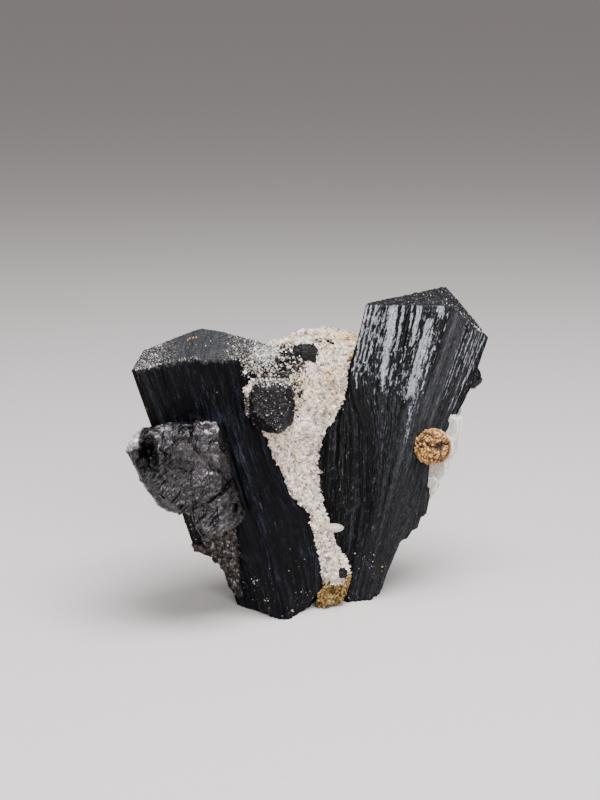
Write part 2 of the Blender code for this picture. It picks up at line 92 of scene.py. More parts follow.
def nearestGrain(points, size, seed):
    # grains lie one to a box of this size: the distance to the nearest, the way from it, and its random value
    places = np.asarray(points, float) / size
    base = np.floor(places).astype(np.int64)
    distance = np.full(places.shape[:-1], 9.0)
    away = np.zeros(places.shape)
    tone = np.zeros(places.shape[:-1])
    for step in np.ndindex(3, 3, 3):
        cell = base + np.array(step) - 1
        middle = cell + 0.5 + 0.4 * hashedVector(cell, seed)
        gap = places - middle
        length = np.linalg.norm(gap, axis=-1)
        closer = length < distance
        distance = np.where(closer, length, distance)
        away = np.where(closer[..., None], gap, away)
        tone = np.where(closer, hashed(cell, seed + 5), tone)
    return distance, away * size, tone


def chips(points, size, tilt, seed):
    # a broken face: each grain's patch is a plane through the grain, tipped its own way
    _, away, tone = nearestGrain(points, size, seed)
    cell = np.round(stacked(tone * 9e4, tone * 7e3, tone * 5e2)).astype(np.int64)
    ways = hashedVector(cell, seed)
    return tilt * (away * ways).sum(axis=-1)


def smoothStep(values, low, high):
    # 0 below low, 1 above high, and an even s-curve between them
    share = np.clip((values - low) / (high - low), 0, 1)
    return share * share * (3 - 2 * share)


def gridFaces(rows, columns):
    # quads over rows that close on themselves; the rows climb, and the columns go round counter-clockwise
    starts = np.arange(rows - 1)[:, None] * columns
    low = starts + np.arange(columns)
    right = starts + (np.arange(columns) + 1) % columns
    return stacked(low, right, right + columns, low + columns).reshape(-1, 4)


def gridNormals(points):
    # the cross product of the steps along the row and up the column
    along = np.roll(points, -1, axis=1) - np.roll(points, 1, axis=1)
    normals = np.cross(along, np.gradient(points, axis=0))
    return normals / np.maximum(np.linalg.norm(normals, axis=-1, keepdims=True), 1e-9)


def closedGrid(grid):
    # the grid's rows joined by quads, with a point in the middle of the first and last row to close the ends
    rows, columns = grid.shape[:2]
    points = np.concatenate([grid.reshape(-1, 3), grid[:1].mean(axis=1), grid[-1:].mean(axis=1)])
    ring = np.arange(columns)
    after = (ring + 1) % columns
    lastRow = (rows - 1) * columns
    bottom = stacked(after, ring, rows * columns)
    top = stacked(lastRow + ring, lastRow + after, rows * columns + 1)
    return points, gridFaces(rows, columns), np.concatenate([bottom, top])


def addMesh(name, points, quads, triangles, material, node=None, attributes=None, uv=None, smooth=True):
    # a mesh from whole arrays; uv is one place for each vertex, and its seam is where the columns close
    mesh = bpy.data.meshes.new(name)
    quads, triangles = np.asarray(quads).reshape(-1, 4), np.asarray(triangles).reshape(-1, 3)
    corners = np.concatenate([quads.ravel(), triangles.ravel()]).astype(np.int32)
    starts = [np.arange(len(quads)) * 4, len(quads) * 4 + np.arange(len(triangles)) * 3]
    mesh.vertices.add(len(points))
    mesh.vertices.foreach_set("co", toFrame(points).astype(np.float32).ravel())
    mesh.loops.add(len(corners))
    mesh.loops.foreach_set("vertex_index", corners)
    mesh.polygons.add(len(quads) + len(triangles))
    mesh.polygons.foreach_set("loop_start", np.concatenate(starts).astype(np.int32))
    mesh.polygons.foreach_set("use_smooth", np.full(len(mesh.polygons), smooth))
    for label, values in (attributes or {}).items():
        layer = mesh.attributes.new(label, "FLOAT", "POINT")
        layer.data.foreach_set("value", np.asarray(values, np.float32).ravel())
    if uv is not None:
        layer = mesh.uv_layers.new(name="alongFace")
        layer.data.foreach_set("uv", np.asarray(uv, np.float32)[corners].ravel())
    mesh.update(calc_edges=True)
    mesh.validate()
    mesh.materials.append(material)
    piece = bpy.data.objects.new(name, mesh)
    bpy.context.scene.collection.objects.link(piece)
    if node:
        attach(piece, "root")
        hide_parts(node)
    return piece


def addClosed(name, grid, look, node, toneAt, smooth=True):
    # a closed granular piece, whose tone attribute is a function of its points
    points, quads, triangles = closedGrid(grid)
    addMesh(name, points, quads, triangles, granular[look], node, {"tone": toneAt(points)}, None, smooth)


def linear(hexColour):
    # sRGB hex to the linear values that the shaders use
    parts = np.array([int(hexColour[i : i + 2], 16) for i in (1, 3, 5)]) / 255
    low = parts / 12.92
    high = ((parts + 0.055) / 1.055) ** 2.4
    return (*np.where(parts <= 0.04045, low, high).tolist(), 1.0)


def setSockets(node, values):
    # a pair of a node and its output is a link, "ramp" lists places and colours, and the rest are properties
    # and the values of inputs
    for key, value in values.items():
        if key == "ramp":
            while len(node.color_ramp.elements) < len(value):
                node.color_ramp.elements.new(1.0)
            for element, (place, colour) in zip(node.color_ramp.elements, value):
                element.position = place
                element.color = linear(colour)
        elif isinstance(value, tuple) and isinstance(value[0], bpy.types.Node):
            node.id_data.links.new(value[0].outputs[value[1]], node.inputs[key])
        elif isinstance(key, str) and hasattr(node, key):
            setattr(node, key, value)
        else:
            node.inputs[key].default_value = linear(value) if isinstance(value, str) else value


def addNode(tree, kind, values):
    # one node with its settings and links
    node = tree.nodes.new("ShaderNode" + kind)
    setSockets(node, values)
    return node


def startMaterial(name, look):
    # a material with its shader's basic values, its node tree and the shader
    made = bpy.data.materials.new(name)
    made.use_nodes = True
    shader = made.node_tree.nodes["Principled BSDF"]
    basics = {"Roughness": look["roughness"], "IOR": look["ior"], "Specular IOR Level": look["specular"]}
    setSockets(shader, basics)
    return made, made.node_tree, shader


def perSize(size):
    # a texture's scale for a pattern of this size in millimetres
    return 1 / (size * mm)


def makeIlvaite(name, look):
    # ilvaite, grown as striated prisms: near black with a blue cast, submetallic where a lamella is clean
    # and dull where it is etched. The attribute for lustre and sheen says how clean a place is, and streaks
    # of noise up the face break that into ragged bright lines: their metallic gloss is real, and their
    # lighter colour is a painted sheen in place of the lamps' reflection. The matt attribute greys a place,
    # and frost whitens the ends.
    made, tree, shader = startMaterial(name, look)
    place = addNode(tree, "TexCoord", {})
    lustre = addNode(tree, "Attribute", {"attribute_name": "lustre"})
    frost = addNode(tree, "Attribute", {"attribute_name": "frost"})
    greyed = addNode(tree, "Attribute", {"attribute_name": "matt"})
    stretch, widen = (
        addNode(tree, "Mapping", {"Vector": (place, "UV"), "Scale": (perSize(width), perSize(length), 1)})
        for width, length in (look["streakSize"], look["broadSize"])
    )
    streak = addNode(
        tree, "TexNoise",
        {"Vector": (stretch, 0), "Scale": 1.0, "Detail": 3.0, "Roughness": 0.6, "Distortion": 0.4},
    )
    broad = addNode(tree, "TexNoise", {"Vector": (widen, 0), "Scale": 1.0, "Detail": 2.0})
    etchScale = perSize(look["etchSize"])
    etch = addNode(
        tree, "TexNoise", {"Vector": (place, "Object"), "Scale": etchScale, "Detail": 4.0, "Roughness": 0.65}
    )
    # a place is clean, and painted with the sheen, where the attribute + 1.6 streak + 0.6 etch passes a
    # threshold, with both noises about a half on average
    field = (lustre, "Fac")
    for noise, weight in ((streak, 1.6), (etch, 0.6)):
        field = (addNode(tree, "Math", {"operation": "MULTIPLY_ADD", 0: (noise, 0), 1: weight, 2: field}), 0)
    cleanAndPaintedSheen = addNode(tree, "MapRange", {0: field, 1: 1.54, 2: 1.74})
    # the dark body has broad lamellae, streaks and stipple: a weighted mean of the noises picks its shade
    mean = addNode(tree, "Math", {"operation": "MULTIPLY", 0: (streak, 0), 1: 0.42})
    for noise, weight in ((etch, 0.28), (broad, 0.3)):
        mean = addNode(tree, "Math", {"operation": "MULTIPLY_ADD", 0: (noise, 0), 1: weight, 2: (mean, 0)})
    dark = addNode(tree, "ValToRGB", {"Fac": (mean, 0), "ramp": look["body"]})
    grey = addNode(tree, "ValToRGB", {"Fac": (mean, 0), "ramp": look["matt"]})
    # the painted sheen: a light colour for the lamps' reflection, mixed in where a lamella is clean
    paintedSheenColour = addNode(tree, "ValToRGB", {"Fac": (etch, 0), "ramp": look["lustre"]})
    frosted = addNode(tree, "ValToRGB", {"Fac": (etch, 0), "ramp": look["frost"]})
    colour = (dark, "Color")
    for share, over in (((greyed, "Fac"), grey), ((cleanAndPaintedSheen, 0), paintedSheenColour), ((frost, "Fac"), frosted)):
        colour = (addNode(tree, "Mix", {"data_type": "RGBA", 0: share, 6: colour, 7: (over, "Color")}), 2)
    metal = addNode(tree, "Math", {"operation": "MULTIPLY", 0: (cleanAndPaintedSheen, 0), 1: look["metal"]})
    matt = addNode(tree, "MapRange", {0: (cleanAndPaintedSheen, 0), 3: look["roughness"], 4: look["lustreRoughness"]})
    uneven = addNode(tree, "Math", {"operation": "MULTIPLY_ADD", 0: (etch, 0), 1: 0.2, 2: (matt, 0)})
    proud = addNode(tree, "Math", {"operation": "MULTIPLY_ADD", 0: (cleanAndPaintedSheen, 0), 1: 0.4, 2: (streak, 0)})
    grooves = addNode(tree, "Bump", {"Height": (proud, 0), "Strength": look["groove"], "Distance": 0.16 * mm})
    pitted = addNode(
        tree, "Bump",
        {"Height": (etch, 0), "Normal": (grooves, 0), "Strength": look["pit"], "Distance": 0.1 * mm},
    )
    setSockets(shader, {
        "Base Color": colour, "Metallic": (metal, 0), "Roughness": (uneven, 0), "Normal": (pitted, 0),
    })
    return made


def makeGranular(name, look):
    # a granular or broken mineral: the piece's tone attribute, moved a little by fine noise, picks the
    # shade, the warm attribute and soft patches stain it, and the fine noise roughens it
    made, tree, shader = startMaterial(name, look)
    place = (addNode(tree, "TexCoord", {}), "Object")
    tone = addNode(tree, "Attribute", {"attribute_name": "tone"})
    warm = addNode(tree, "Attribute", {"attribute_name": "warm"})
    grit = addNode(
        tree, "TexNoise", {"Vector": place, "Scale": perSize(look["grit"]), "Detail": 4.0, "Roughness": 0.6}
    )
    patch = addNode(tree, "TexNoise", {"Vector": place, "Scale": perSize(look["patch"]), "Detail": 2.0})
    swing = addNode(tree, "MapRange", {0: (grit, 0), 1: 0.3, 2: 0.7, 3: -look["mottle"], 4: look["mottle"]})
    mixed = addNode(tree, "Math", {"operation": "ADD", 0: (tone, "Fac"), 1: (swing, 0)})
    shade = addNode(tree, "ValToRGB", {"Fac": (mixed, 0), "ramp": look["shades"]})
    patchy = addNode(tree, "MapRange", {0: (patch, 0), 1: look["stainFrom"], 2: 0.75, 4: look["stainMost"]})
    stain = addNode(tree, "Math", {"operation": "MAXIMUM", 0: (patchy, 0), 1: (warm, "Fac")})
    coloured = addNode(
        tree, "Mix",
        {"data_type": "RGBA", "blend_type": "MULTIPLY", 0: (stain, 0), 6: (shade, "Color"), 7: look["stain"]},
    )
    bump = addNode(tree, "Bump", {"Height": (grit, 0), "Strength": look["bump"], "Distance": 0.15 * mm})
    setSockets(shader, {
        "Base Color": (coloured, 2), "Normal": (bump, 0), "Metallic": look.get("metallic", 0.0),
        "Subsurface Weight": look.get("glow", 0.0), "Subsurface Radius": (1.0, 0.9, 0.8),
        "Subsurface Scale": look.get("glowDepth", 0.5) * mm, "Transmission Weight": look.get("clear", 0.0),
    })
    return made


# sizes are in millimetres: a streak's and a broad lamella's width and length, and the etched stipple's grain
# each lustre ramp is the painted sheen of clean lamellae: light colours for the lamps' reflection
ilvaiteLooks = {
    "left": {
        "roughness": 0.42, "ior": 1.73, "specular": 0.05, "lustreRoughness": 0.3, "metal": 0.2,
        "streakSize": (0.4, 4.0), "broadSize": (1.6, 26.0), "etchSize": 0.5, "groove": 0.6, "pit": 0.7,
        "body": [(0.44, "#020203"), (0.52, "#07080c"), (0.62, "#232531")],
        "matt": [(0.4, "#202124"), (0.6, "#424346")],
        "lustre": [(0.3, "#242631"), (0.65, "#4a4d5b")],
        "frost": [(0.4, "#101012"), (0.57, "#4a4849"), (0.7, "#b0acaa")],
    },
    "right": {
        "roughness": 0.42, "ior": 1.73, "specular": 0.07, "lustreRoughness": 0.3, "metal": 0.3,
        "streakSize": (0.27, 1.8), "broadSize": (1.6, 26.0), "etchSize": 0.5, "groove": 0.8, "pit": 0.6,
        "body": [(0.44, "#020203"), (0.52, "#0c0d10"), (0.62, "#36383d")],
        "matt": [(0.4, "#101114"), (0.6, "#4b4c51")],
        "lustre": [(0.3, "#62656d"), (0.65, "#a3a6ae")],
        "frost": [(0.4, "#0a0a0c"), (0.57, "#232326"), (0.7, "#77767a")],
    },
}
# grit and patch are the sizes of the fine noise and of the stained patches in millimetres
granularLooks = {
    "quartz": {  # quartz grown as a sugary crust: milky, glassy grains that let a little light through
        "roughness": 0.22, "ior": 1.54, "specular": 0.6, "grit": 0.4, "patch": 6.0,
        "mottle": 0.26, "bump": 0.5,
        "glow": 0.06, "glowDepth": 0.4,
        "shades": [(0.0, "#6e6054"), (0.25, "#c6b4a2"), (0.55, "#efe2d5"), (0.9, "#fffaf3")],
        "stain": "#ecd7a8", "stainFrom": 0.56, "stainMost": 0.7,
    },
    "knob": {  # a smooth milky quartz knob
        "roughness": 0.3, "ior": 1.54, "specular": 0.5, "grit": 0.8, "patch": 3.0, "mottle": 0.1, "bump": 0.1,
        "glow": 0.2, "glowDepth": 0.6, "shades": [(0.2, "#968b83"), (0.8, "#cfc5bc")],
        "stain": "#e4cfae", "stainFrom": 0.55, "stainMost": 0.5,
    },
    "drusy": {  # ilvaite whose faces are covered in tiny crystals: brown-black with sparks
        "roughness": 0.35, "ior": 1.73, "specular": 0.1, "grit": 0.24, "patch": 3.0,
        "mottle": 0.32, "bump": 0.8,
        "shades": [(0.35, "#050406"), (0.65, "#151316"), (0.85, "#302d31"), (1.0, "#8d888b")],
        "stain": "#c8b8a8", "stainFrom": 0.5, "stainMost": 0.5,
    },
    "spark": {  # clear grains on a dark face
        "roughness": 0.2, "ior": 1.54, "specular": 0.5, "grit": 0.4, "patch": 3.0, "mottle": 0.2, "bump": 0.2,
        "shades": [(0.0, "#3a3a3d"), (0.5, "#8f8d8d"), (0.9, "#efecea")],
        "stain": "#e0c27c", "stainFrom": 0.62, "stainMost": 0.4,
    },
    "broken": {  # a broken heavy mineral: dark grey, with a metallic lustre on its fresh steps
        "roughness": 0.3, "ior": 1.8, "specular": 0.3, "grit": 0.6, "patch": 4.0, "mottle": 0.14, "bump": 0.8,
        "metallic": 0.4,
        "shades": [
            (0.05, "#050406"), (0.3, "#1c191c"), (0.5, "#3c383c"), (0.7, "#666166"),
            (0.85, "#a39ea2"), (1.0, "#efebec"),
        ],
        "stain": "#d8cabf", "stainFrom": 0.55, "stainMost": 0.6,
    },
    "matrix": {  # weathered rock crust: dull grey-brown grit
        "roughness": 0.75, "ior": 1.5, "specular": 0.2, "grit": 0.5, "patch": 2.5, "mottle": 0.3, "bump": 0.9,
        "shades": [(0.1, "#0a0809"), (0.4, "#231f1f"), (0.7, "#4f4747"), (0.95, "#a1968f")],
        "stain": "#c0a080", "stainFrom": 0.5, "stainMost": 0.6,
    },
    "stained": {  # quartz rubble stained by rust
        "roughness": 0.7, "ior": 1.5, "specular": 0.2, "grit": 0.45, "patch": 2.0, "mottle": 0.3, "bump": 0.9,
        "shades": [(0.1, "#1d140a"), (0.4, "#5e4721"), (0.7, "#957944"), (0.95, "#dccaa2")],
        "stain": "#e0b070", "stainFrom": 0.5, "stainMost": 0.6,
    },
    "siderite": {  # siderite grown as a ball of fine crystals: tan, darker between the grains
        "roughness": 0.5, "ior": 1.6, "specular": 0.3, "grit": 0.4, "patch": 2.0, "mottle": 0.25, "bump": 0.8,
        "shades": [(0.05, "#180c04"), (0.3, "#533013"), (0.6, "#a0703a"), (0.95, "#ddb474")],
        "stain": "#d8a868", "stainFrom": 0.5, "stainMost": 0.6,
    },
    "calcite": {  # calcite grown as thin blades: white, pearly and a little see-through
        "roughness": 0.25, "ior": 1.6, "specular": 0.5, "grit": 1.0, "patch": 3.0,
        "mottle": 0.15, "bump": 0.2,
        "glow": 0.15, "glowDepth": 0.5, "shades": [(0.1, "#8d8580"), (0.45, "#c2bab4"), (0.8, "#f1eeea")],
        "stain": "#e6d8c8", "stainFrom": 0.55, "stainMost": 0.5,
    },
    "clearCalcite": {  # the topmost blade, clear enough to show the dark crystal behind it
        "roughness": 0.12, "ior": 1.6, "specular": 0.5, "grit": 1.0, "patch": 3.0,
        "mottle": 0.1, "bump": 0.15,
        "clear": 0.65, "shades": [(0.1, "#cfc8c2"), (0.8, "#f2eeea")],
        "stain": "#e6d8c8", "stainFrom": 0.55, "stainMost": 0.5,
    },
}
leftIlvaite = makeIlvaite("ilvaite, striated, dull black", ilvaiteLooks["left"])
rightIlvaite = makeIlvaite("ilvaite, striated, lustrous", ilvaiteLooks["right"])
granular = {label: makeGranular(f"{label}, granular", look) for label, look in granularLooks.items()}
print("materials made")

leftCrystal = {
    "name": "leftCrystal",
    "node": "left_ilvaite_crystal",
    # each corner is a line of (height, x, y) points, and the corners go round counter-clockwise from above
    "corners": (
        ((0, -10.6, 12.4), (6, -12.0, 11.0), (13, -14.5, 9.5), (15.5, -20.2, 8.0), (66, -36.0, 3.6)),
        ((0, 0.3, 2.0), (66, -17.8, -4.2)),
        (
            (0, 4.6, 8.5), (5, 8.7, 10.0), (13, 8.2, 10.0), (22.5, 6.2, 9.0),
            (28.5, 2.6, 7.5), (38.6, -1.0, 6.0), (66, -5.0, 6.0),
        ),
        ((0, 8.0, 20.0), (66, -1.5, 20.0)),
        ((0, -1.0, 25.5), (66, -16.0, 27.5)),
        ((0, -11.0, 20.5), (15, -17.5, 20.0), (66, -33.2, 12.5)),
    ),
    "strips": (9, 7, 5, 4, 5, 5),
    "lamellaRise": 0.34,
    # ledges: side, first and last lamella, lowest and highest height, and how far they stand proud
    "ledges": (
        (0, 5, 8, 0, 46, 0.5), (1, 1, 2, 0, 28.5, 0.5), (1, 4, 5, 13, 66, 0.45), (0, 1, 2, 52, 66, 0.35),
    ),
    # terminations: a point on each plane and its outward normal
    "topPlanes": (
        ((-16.1, -4.0, 59.9), (-0.347, -0.205, 0.915)),
        ((-12.0, 14.0, 62.4), (0.33, -0.25, 1.0)),
        ((-16.1, -4.0, 58.8), (0.0, -0.21, 0.978)),
        ((-16.1, 14.0, 62.8), (0.25, 0.40, 0.88)),
        ((-22.0, 14.0, 61.6), (-0.35, 0.35, 0.87)),
    ),
    # clean lamellae with a painted sheen, in the same columns as the right crystal's below
    "bands": (
        (0, (0.80, 60), (1.0, 47.5), (0.14, 0.14), 0.48), (0, (0.74, 60), (0.97, 46), (0.14, 0.14), 0.46),
        (0, (0.68, 60), (0.92, 46), (0.12, 0.12), 0.44), (0, (0.60, 58), (0.80, 46), (0.12, 0.12), 0.44),
        (1, (0.05, 46), (0.22, 30), (0.14, 0.14), 0.46), (1, (0.0, 40), (0.16, 26), (0.14, 0.14), 0.44),
    ),
    "matt": ((0, (0.15, 70), (0.2, 13), (0.5, 0.8), 0.2),),
    "columnWidths": (0.11, 0.11, 0.25, 0.35, 0.35, 0.22),
    "rows": 125, "topRings": 25,
    "seed": 1,
    "fineStrip": 0.5, "fineLength": 9.0, "fineRise": 0.09, "microRise": 0.035,
}
rightCrystal = {
    "name": "rightCrystal",
    "node": "right_ilvaite_crystal",
    "corners": (
        ((0, 9.8, 20.0), (24, 6.5, 20.5), (40, 8.0, 21.0), (50, 14.0, 24.0), (74, 24.0, 33.0)),
        (
            (0, 14.0, 14.2), (24, 17.8, 16.0), (40, 17.6, 18.0),
            (46, 15.4, 18.8), (51, 14.7, 19.6), (74, 20.1, 27.0),
        ),
        ((0, 19.1, 15.5), (25, 24.9, 16.2), (43, 29.9, 18.0), (74, 40.6, 27.4)),
        ((0, 21.0, 18.5), (24, 30.1, 19.5), (39.5, 34.4, 22.0), (74, 47.8, 32.5)),
        (
            (0, 22.5, 25.0), (5, 23.8, 25.0), (9.3, 25.9, 25.3), (11.8, 26.9, 25.6), (12.2, 28.2, 25.7),
            (14, 29.2, 25.9), (14.3, 30.4, 25.9), (17, 31.2, 26.0), (17.4, 32.3, 26.0), (22, 33.0, 26.0),
            (30, 33.6, 27.5), (44, 41.9, 31.0), (74, 53.6, 40.0),
        ),
        ((0, 18.0, 32.0), (74, 43.5, 43.0)),
        ((0, 9.5, 29.0), (74, 24.0, 42.0)),
    ),
    "strips": (4, 9, 3, 5, 4, 4, 4),
    "lamellaRise": 0.36,
    "ledges": (
        (1, 6, 6, 45, 74, 0.8), (1, 2, 3, 22, 52, 0.5), (1, 7, 8, 5, 30, 0.5), (3, 1, 1, 12, 26, -0.7),
        (1, 1, 1, 48, 74, 0.4), (3, 3, 4, 17.5, 24, 0.45), (3, 4, 4, 12, 17, 0.35), (4, 0, 1, 16.5, 22, 0.5),
    ),
    "topPlanes": (
        ((37.8, 25.0, 66.3), (0.021, -0.112, 1.0)),
        ((37.8, 25.0, 66.3), (1.067, -0.112, 1.0)),
        ((18.7, 25.8, 66.8), (-0.45, 0.46, 0.70)),
        ((37.8, 42.0, 68.2), (-0.1, 0.5, 0.86)),
    ),
    # clean lamellae, which also carry a painted sheen: side, share and height of the upper and lower end,
    # half widths there in mm, strength
    "bands": (
        (1, (0.02, 70), (0.03, 51.5), (0.35, 0.25), 0.68), (1, (0.07, 70), (0.08, 48.3), (0.3, 0.2), 0.64),
        (1, (0.12, 70), (0.125, 53.8), (0.35, 0.2), 0.68), (1, (0.175, 70), (0.17, 49.5), (0.35, 0.2), 0.6),
        (1, (0.301, 70), (0.42, 50.5), (1.5, 0.7), 0.7), (1, (0.31, 70), (0.425, 48), (0.7, 0.35), 0.8),
        (1, (0.22, 70), (0.30, 53), (0.25, 0.2), 0.56),
        (1, (0.418, 70), (0.50, 55), (0.45, 0.35), 0.64), (1, (0.50, 54), (0.53, 49), (0.4, 0.3), 0.62),
        (1, (0.607, 70), (0.665, 57.5), (0.8, 0.45), 0.72), (1, (0.52, 70), (0.60, 59), (0.3, 0.25), 0.58),
        (1, (0.785, 64), (0.815, 46), (0.9, 1.2), 0.68), (1, (0.77, 63), (0.785, 46), (0.4, 0.5), 0.84),
        (1, (0.86, 60), (0.885, 47), (0.5, 0.4), 0.6), (1, (0.93, 59), (0.95, 48), (0.35, 0.25), 0.54),
        (1, (0.865, 46), (0.915, 36), (0.6, 0.4), 0.5), (1, (0.779, 70), (0.905, 64.2), (1.1, 0.7), 0.85),
        (1, (0.70, 62), (0.73, 52), (0.25, 0.25), 0.52),
        (2, (0.78, 68), (0.83, 47), (0.25, 0.25), 0.56), (2, (0.93, 68), (0.95, 45), (0.25, 0.25), 0.6),
        (3, (0.03, 70), (0.10, 46), (0.25, 0.2), 0.56), (3, (0.12, 68), (0.20, 52), (0.25, 0.15), 0.54),
        (3, (0.22, 70), (0.305, 42), (0.25, 0.2), 0.62), (3, (0.36, 66), (0.40, 50), (0.25, 0.2), 0.56),
        (3, (0.50, 70), (0.50, 45), (0.25, 0.2), 0.6), (3, (0.62, 70), (0.60, 39), (0.3, 0.2), 0.62),
        (3, (0.72, 67), (0.65, 53), (0.25, 0.2), 0.56), (3, (0.87, 70), (0.69, 47), (0.3, 0.2), 0.6),
    ),
    "matt": (
        (2, (0.4, 74), (0.5, 32), (3.0, 3.0), 0.7), (2, (0.5, 33), (0.6, 0), (3.0, 3.0), 0.3),
        (3, (0.2, 74), (0.4, 0), (2.5, 5.0), 0.35), (1, (0.95, 52), (0.85, 0), (2.0, 3.5), 0.35),
    ),
    "columnWidths": (0.16, 0.09, 0.11, 0.12, 0.3, 0.4, 0.3),
    "rows": 130, "topRings": 25,
    "seed": 7,
    "fineStrip": 0.55, "fineLength": 8.0, "fineRise": 0.19, "microRise": 0.055,
}
tallest = 74.0  # a height past the top of either crystal


def cornerAt(line, heights):
    # the corner line's x and y at each height
    levels, xs, ys = np.array(line, float).T
    return stacked(np.interp(heights, levels, xs), np.interp(heights, levels, ys))


def topHeight(planes, places):
    # the lowest of the cutting planes over each x, y
    x, y = places[..., 0], places[..., 1]
    heights = [z0 - (nx * (x - x0) + ny * (y - y0)) / nz for (x0, y0, z0), (nx, ny, nz) in planes]
    return np.min(heights, axis=0)


def lamellae(count, seedSource):
    # uneven strips across a side: their edges as shares of its width
    widths = [seedSource.uniform(0.5, 1.6) for _ in range(count)]
    return np.concatenate([[0], np.cumsum(widths)]) / sum(widths)


def crystalSides(shape):
    # Each side is a flat strip between two corner lines. A point is pushed out by its lamella's height, by
    # ledges, by fine strips that end in steps and by fine striae, all of which run up the side.
    edgeSource, riseSource = random.Random(shape["seed"]), random.Random(shape["seed"])
    edges = [lamellae(count, edgeSource) for count in shape["strips"]]
    rises = [[riseSource.uniform(-1, 1) for _ in range(count)] for count in shape["strips"]]
    probe = np.linspace(0, tallest, 400)
    corners = shape["corners"]
    made = []
    travelled = 0.0
    for side, line in enumerate(corners):
        nextLine = corners[(side + 1) % len(corners)]
        width = float(np.linalg.norm(cornerAt(nextLine, 40.0) - cornerAt(line, 40.0)))
        count = max(4, round(width / shape["columnWidths"][side]))
        share = np.arange(count) / count
        # each column ends where a probe up it meets the cutting planes
        left, right = cornerAt(line, probe)[:, None], cornerAt(nextLine, probe)[:, None]
        path = left * (1 - share[:, None]) + right * share[:, None]
        over = probe[:, None] - topHeight(shape["topPlanes"], path)
        at = np.argmax(over > 0, axis=0)
        low, high = over[at - 1, np.arange(count)], over[at, np.arange(count)]
        top = probe[at - 1] + (probe[at] - probe[at - 1]) * -low / (high - low)
        height = np.linspace(0, 1, shape["rows"])[:, None] * top
        start = cornerAt(line, height)
        along = cornerAt(nextLine, height) - start
        length = np.linalg.norm(along, axis=-1)
        normal = stacked(along[..., 1], -along[..., 0]) / length[..., None]
        shares = np.broadcast_to(share, height.shape)
        across = shares * width
        # lamellae with soft shoulders, then ledges with ragged ends
        edge = edges[side]
        strip = np.clip(np.searchsorted(edge, shares, side="right") - 1, 0, len(edge) - 2)
        inStrip = (shares - edge[strip]) / (edge[strip + 1] - edge[strip])
        swing = smoothNoise(stacked(strip * 3.7, side * 5.1, height / 15), 1, 3)
        shoulder = smoothStep(inStrip, 0.0, 0.14) * smoothStep(1 - inStrip, 0.0, 0.14)
        out = shape["lamellaRise"] * (np.array(rises[side])[strip] + 0.6 * swing) * (0.35 + 0.65 * shoulder)
        ragged = height + 0.5 * smoothNoise(stacked(across, 0, 0), 0.7, 4)
        for face, first, last, lowest, highest, rise in shape["ledges"]:
            if face == side:
                inside = (strip >= first) & (strip <= last)
                above = smoothStep(ragged, lowest - 0.3, lowest)
                out = out + rise * inside * (above * smoothStep(-ragged, -highest, 0.3 - highest))
        # fine strips, each cut into segments of its own height, then striae and etching
        wander = 0.35 * smoothNoise(stacked(across / 2.5, height / 11, side), 1, 11)
        fineAt = across / shape["fineStrip"] + wander / shape["fineStrip"]
        fine = np.floor(fineAt).astype(int)
        within = fineAt - fine
        jump = hashed(stacked(fine, side, 0), shape["seed"])
        segment = np.floor(height / shape["fineLength"] + 7 * jump).astype(int)
        fineRise = shape["fineRise"] * hashed(stacked(fine, segment, side), shape["seed"] + 2)
        out = out + fineRise * smoothStep(within, 0, 0.2) * smoothStep(1 - within, 0, 0.2)
        micro = smoothNoise(stacked((across + wander) / 0.2, height / 6, side), 1, 17)
        etched = smoothNoise(stacked(across / 0.35, height / 0.8, side), 1, 19)
        out = out + shape["microRise"] * (micro + 0.6 * etched)
        # clean lamellae get a painted sheen, a colour for the lamps' reflection, and stand a little proud
        base = sideLustreAndPaintedSheen(shape["name"], side, shares, height, swing)
        lustre = bandField(shape["bands"], side, shares, height, length, base)
        out = out + 0.2 * smoothStep(lustre, 0.4, 0.8)
        matt = bandField(shape["matt"], side, shares, height, length, height * 0)
        flat = start + along * shares[..., None] + normal * out[..., None]
        grid = stacked(flat[..., 0], flat[..., 1], height)
        made.append((grid, lustre, matt, stacked(travelled + across, height)))
        travelled += width
    return [np.concatenate(parts, axis=1) for parts in zip(*made)]


def sideLustreAndPaintedSheen(name, side, shares, height, swing):
    # how clean a side is between its bands, which also sets its painted sheen: the right crystal's upper
    # front is the cleanest, above a slanting line where its painted reflection of the lamps ends, and its
    # right side is cleaner in its upper half
    if name == "rightCrystal" and side == 1:
        upper = smoothStep(height - (51.5 - 8.5 * shares), -1.5, 1.5)
        return 0.12 + (0.26 - 0.06 * shares) * upper + 0.08 * swing
    if name == "rightCrystal" and side == 3:
        return 0.15 + 0.12 * smoothStep(height, 38, 48) + 0.08 * swing
    return 0.15 + 0.06 * swing


def bandField(bands, side, shares, height, width, base):
    # the strongest of the bands at each point: a band is full within its half width of a slanting middle
    # line, and fades beyond that and past its ends
    field = base
    for face, (upperShare, upper), (lowerShare, lower), (upperHalf, lowerHalf), strength in bands:
        if face == side:
            down = np.clip((upper - height) / (upper - lower), 0, 1)
            middle = upperShare + (lowerShare - upperShare) * down
            aside = np.abs(shares - middle) * width / (upperHalf + (lowerHalf - upperHalf) * down)
            below = 1 - smoothStep(height, upper - 0.8, upper + 0.8)
            ends = smoothStep(height, lower - 2.2, lower + 1.6) * below
            field = np.maximum(field, strength * ends * (1 - smoothStep(aside, 0.6, 1.4)))
    return field


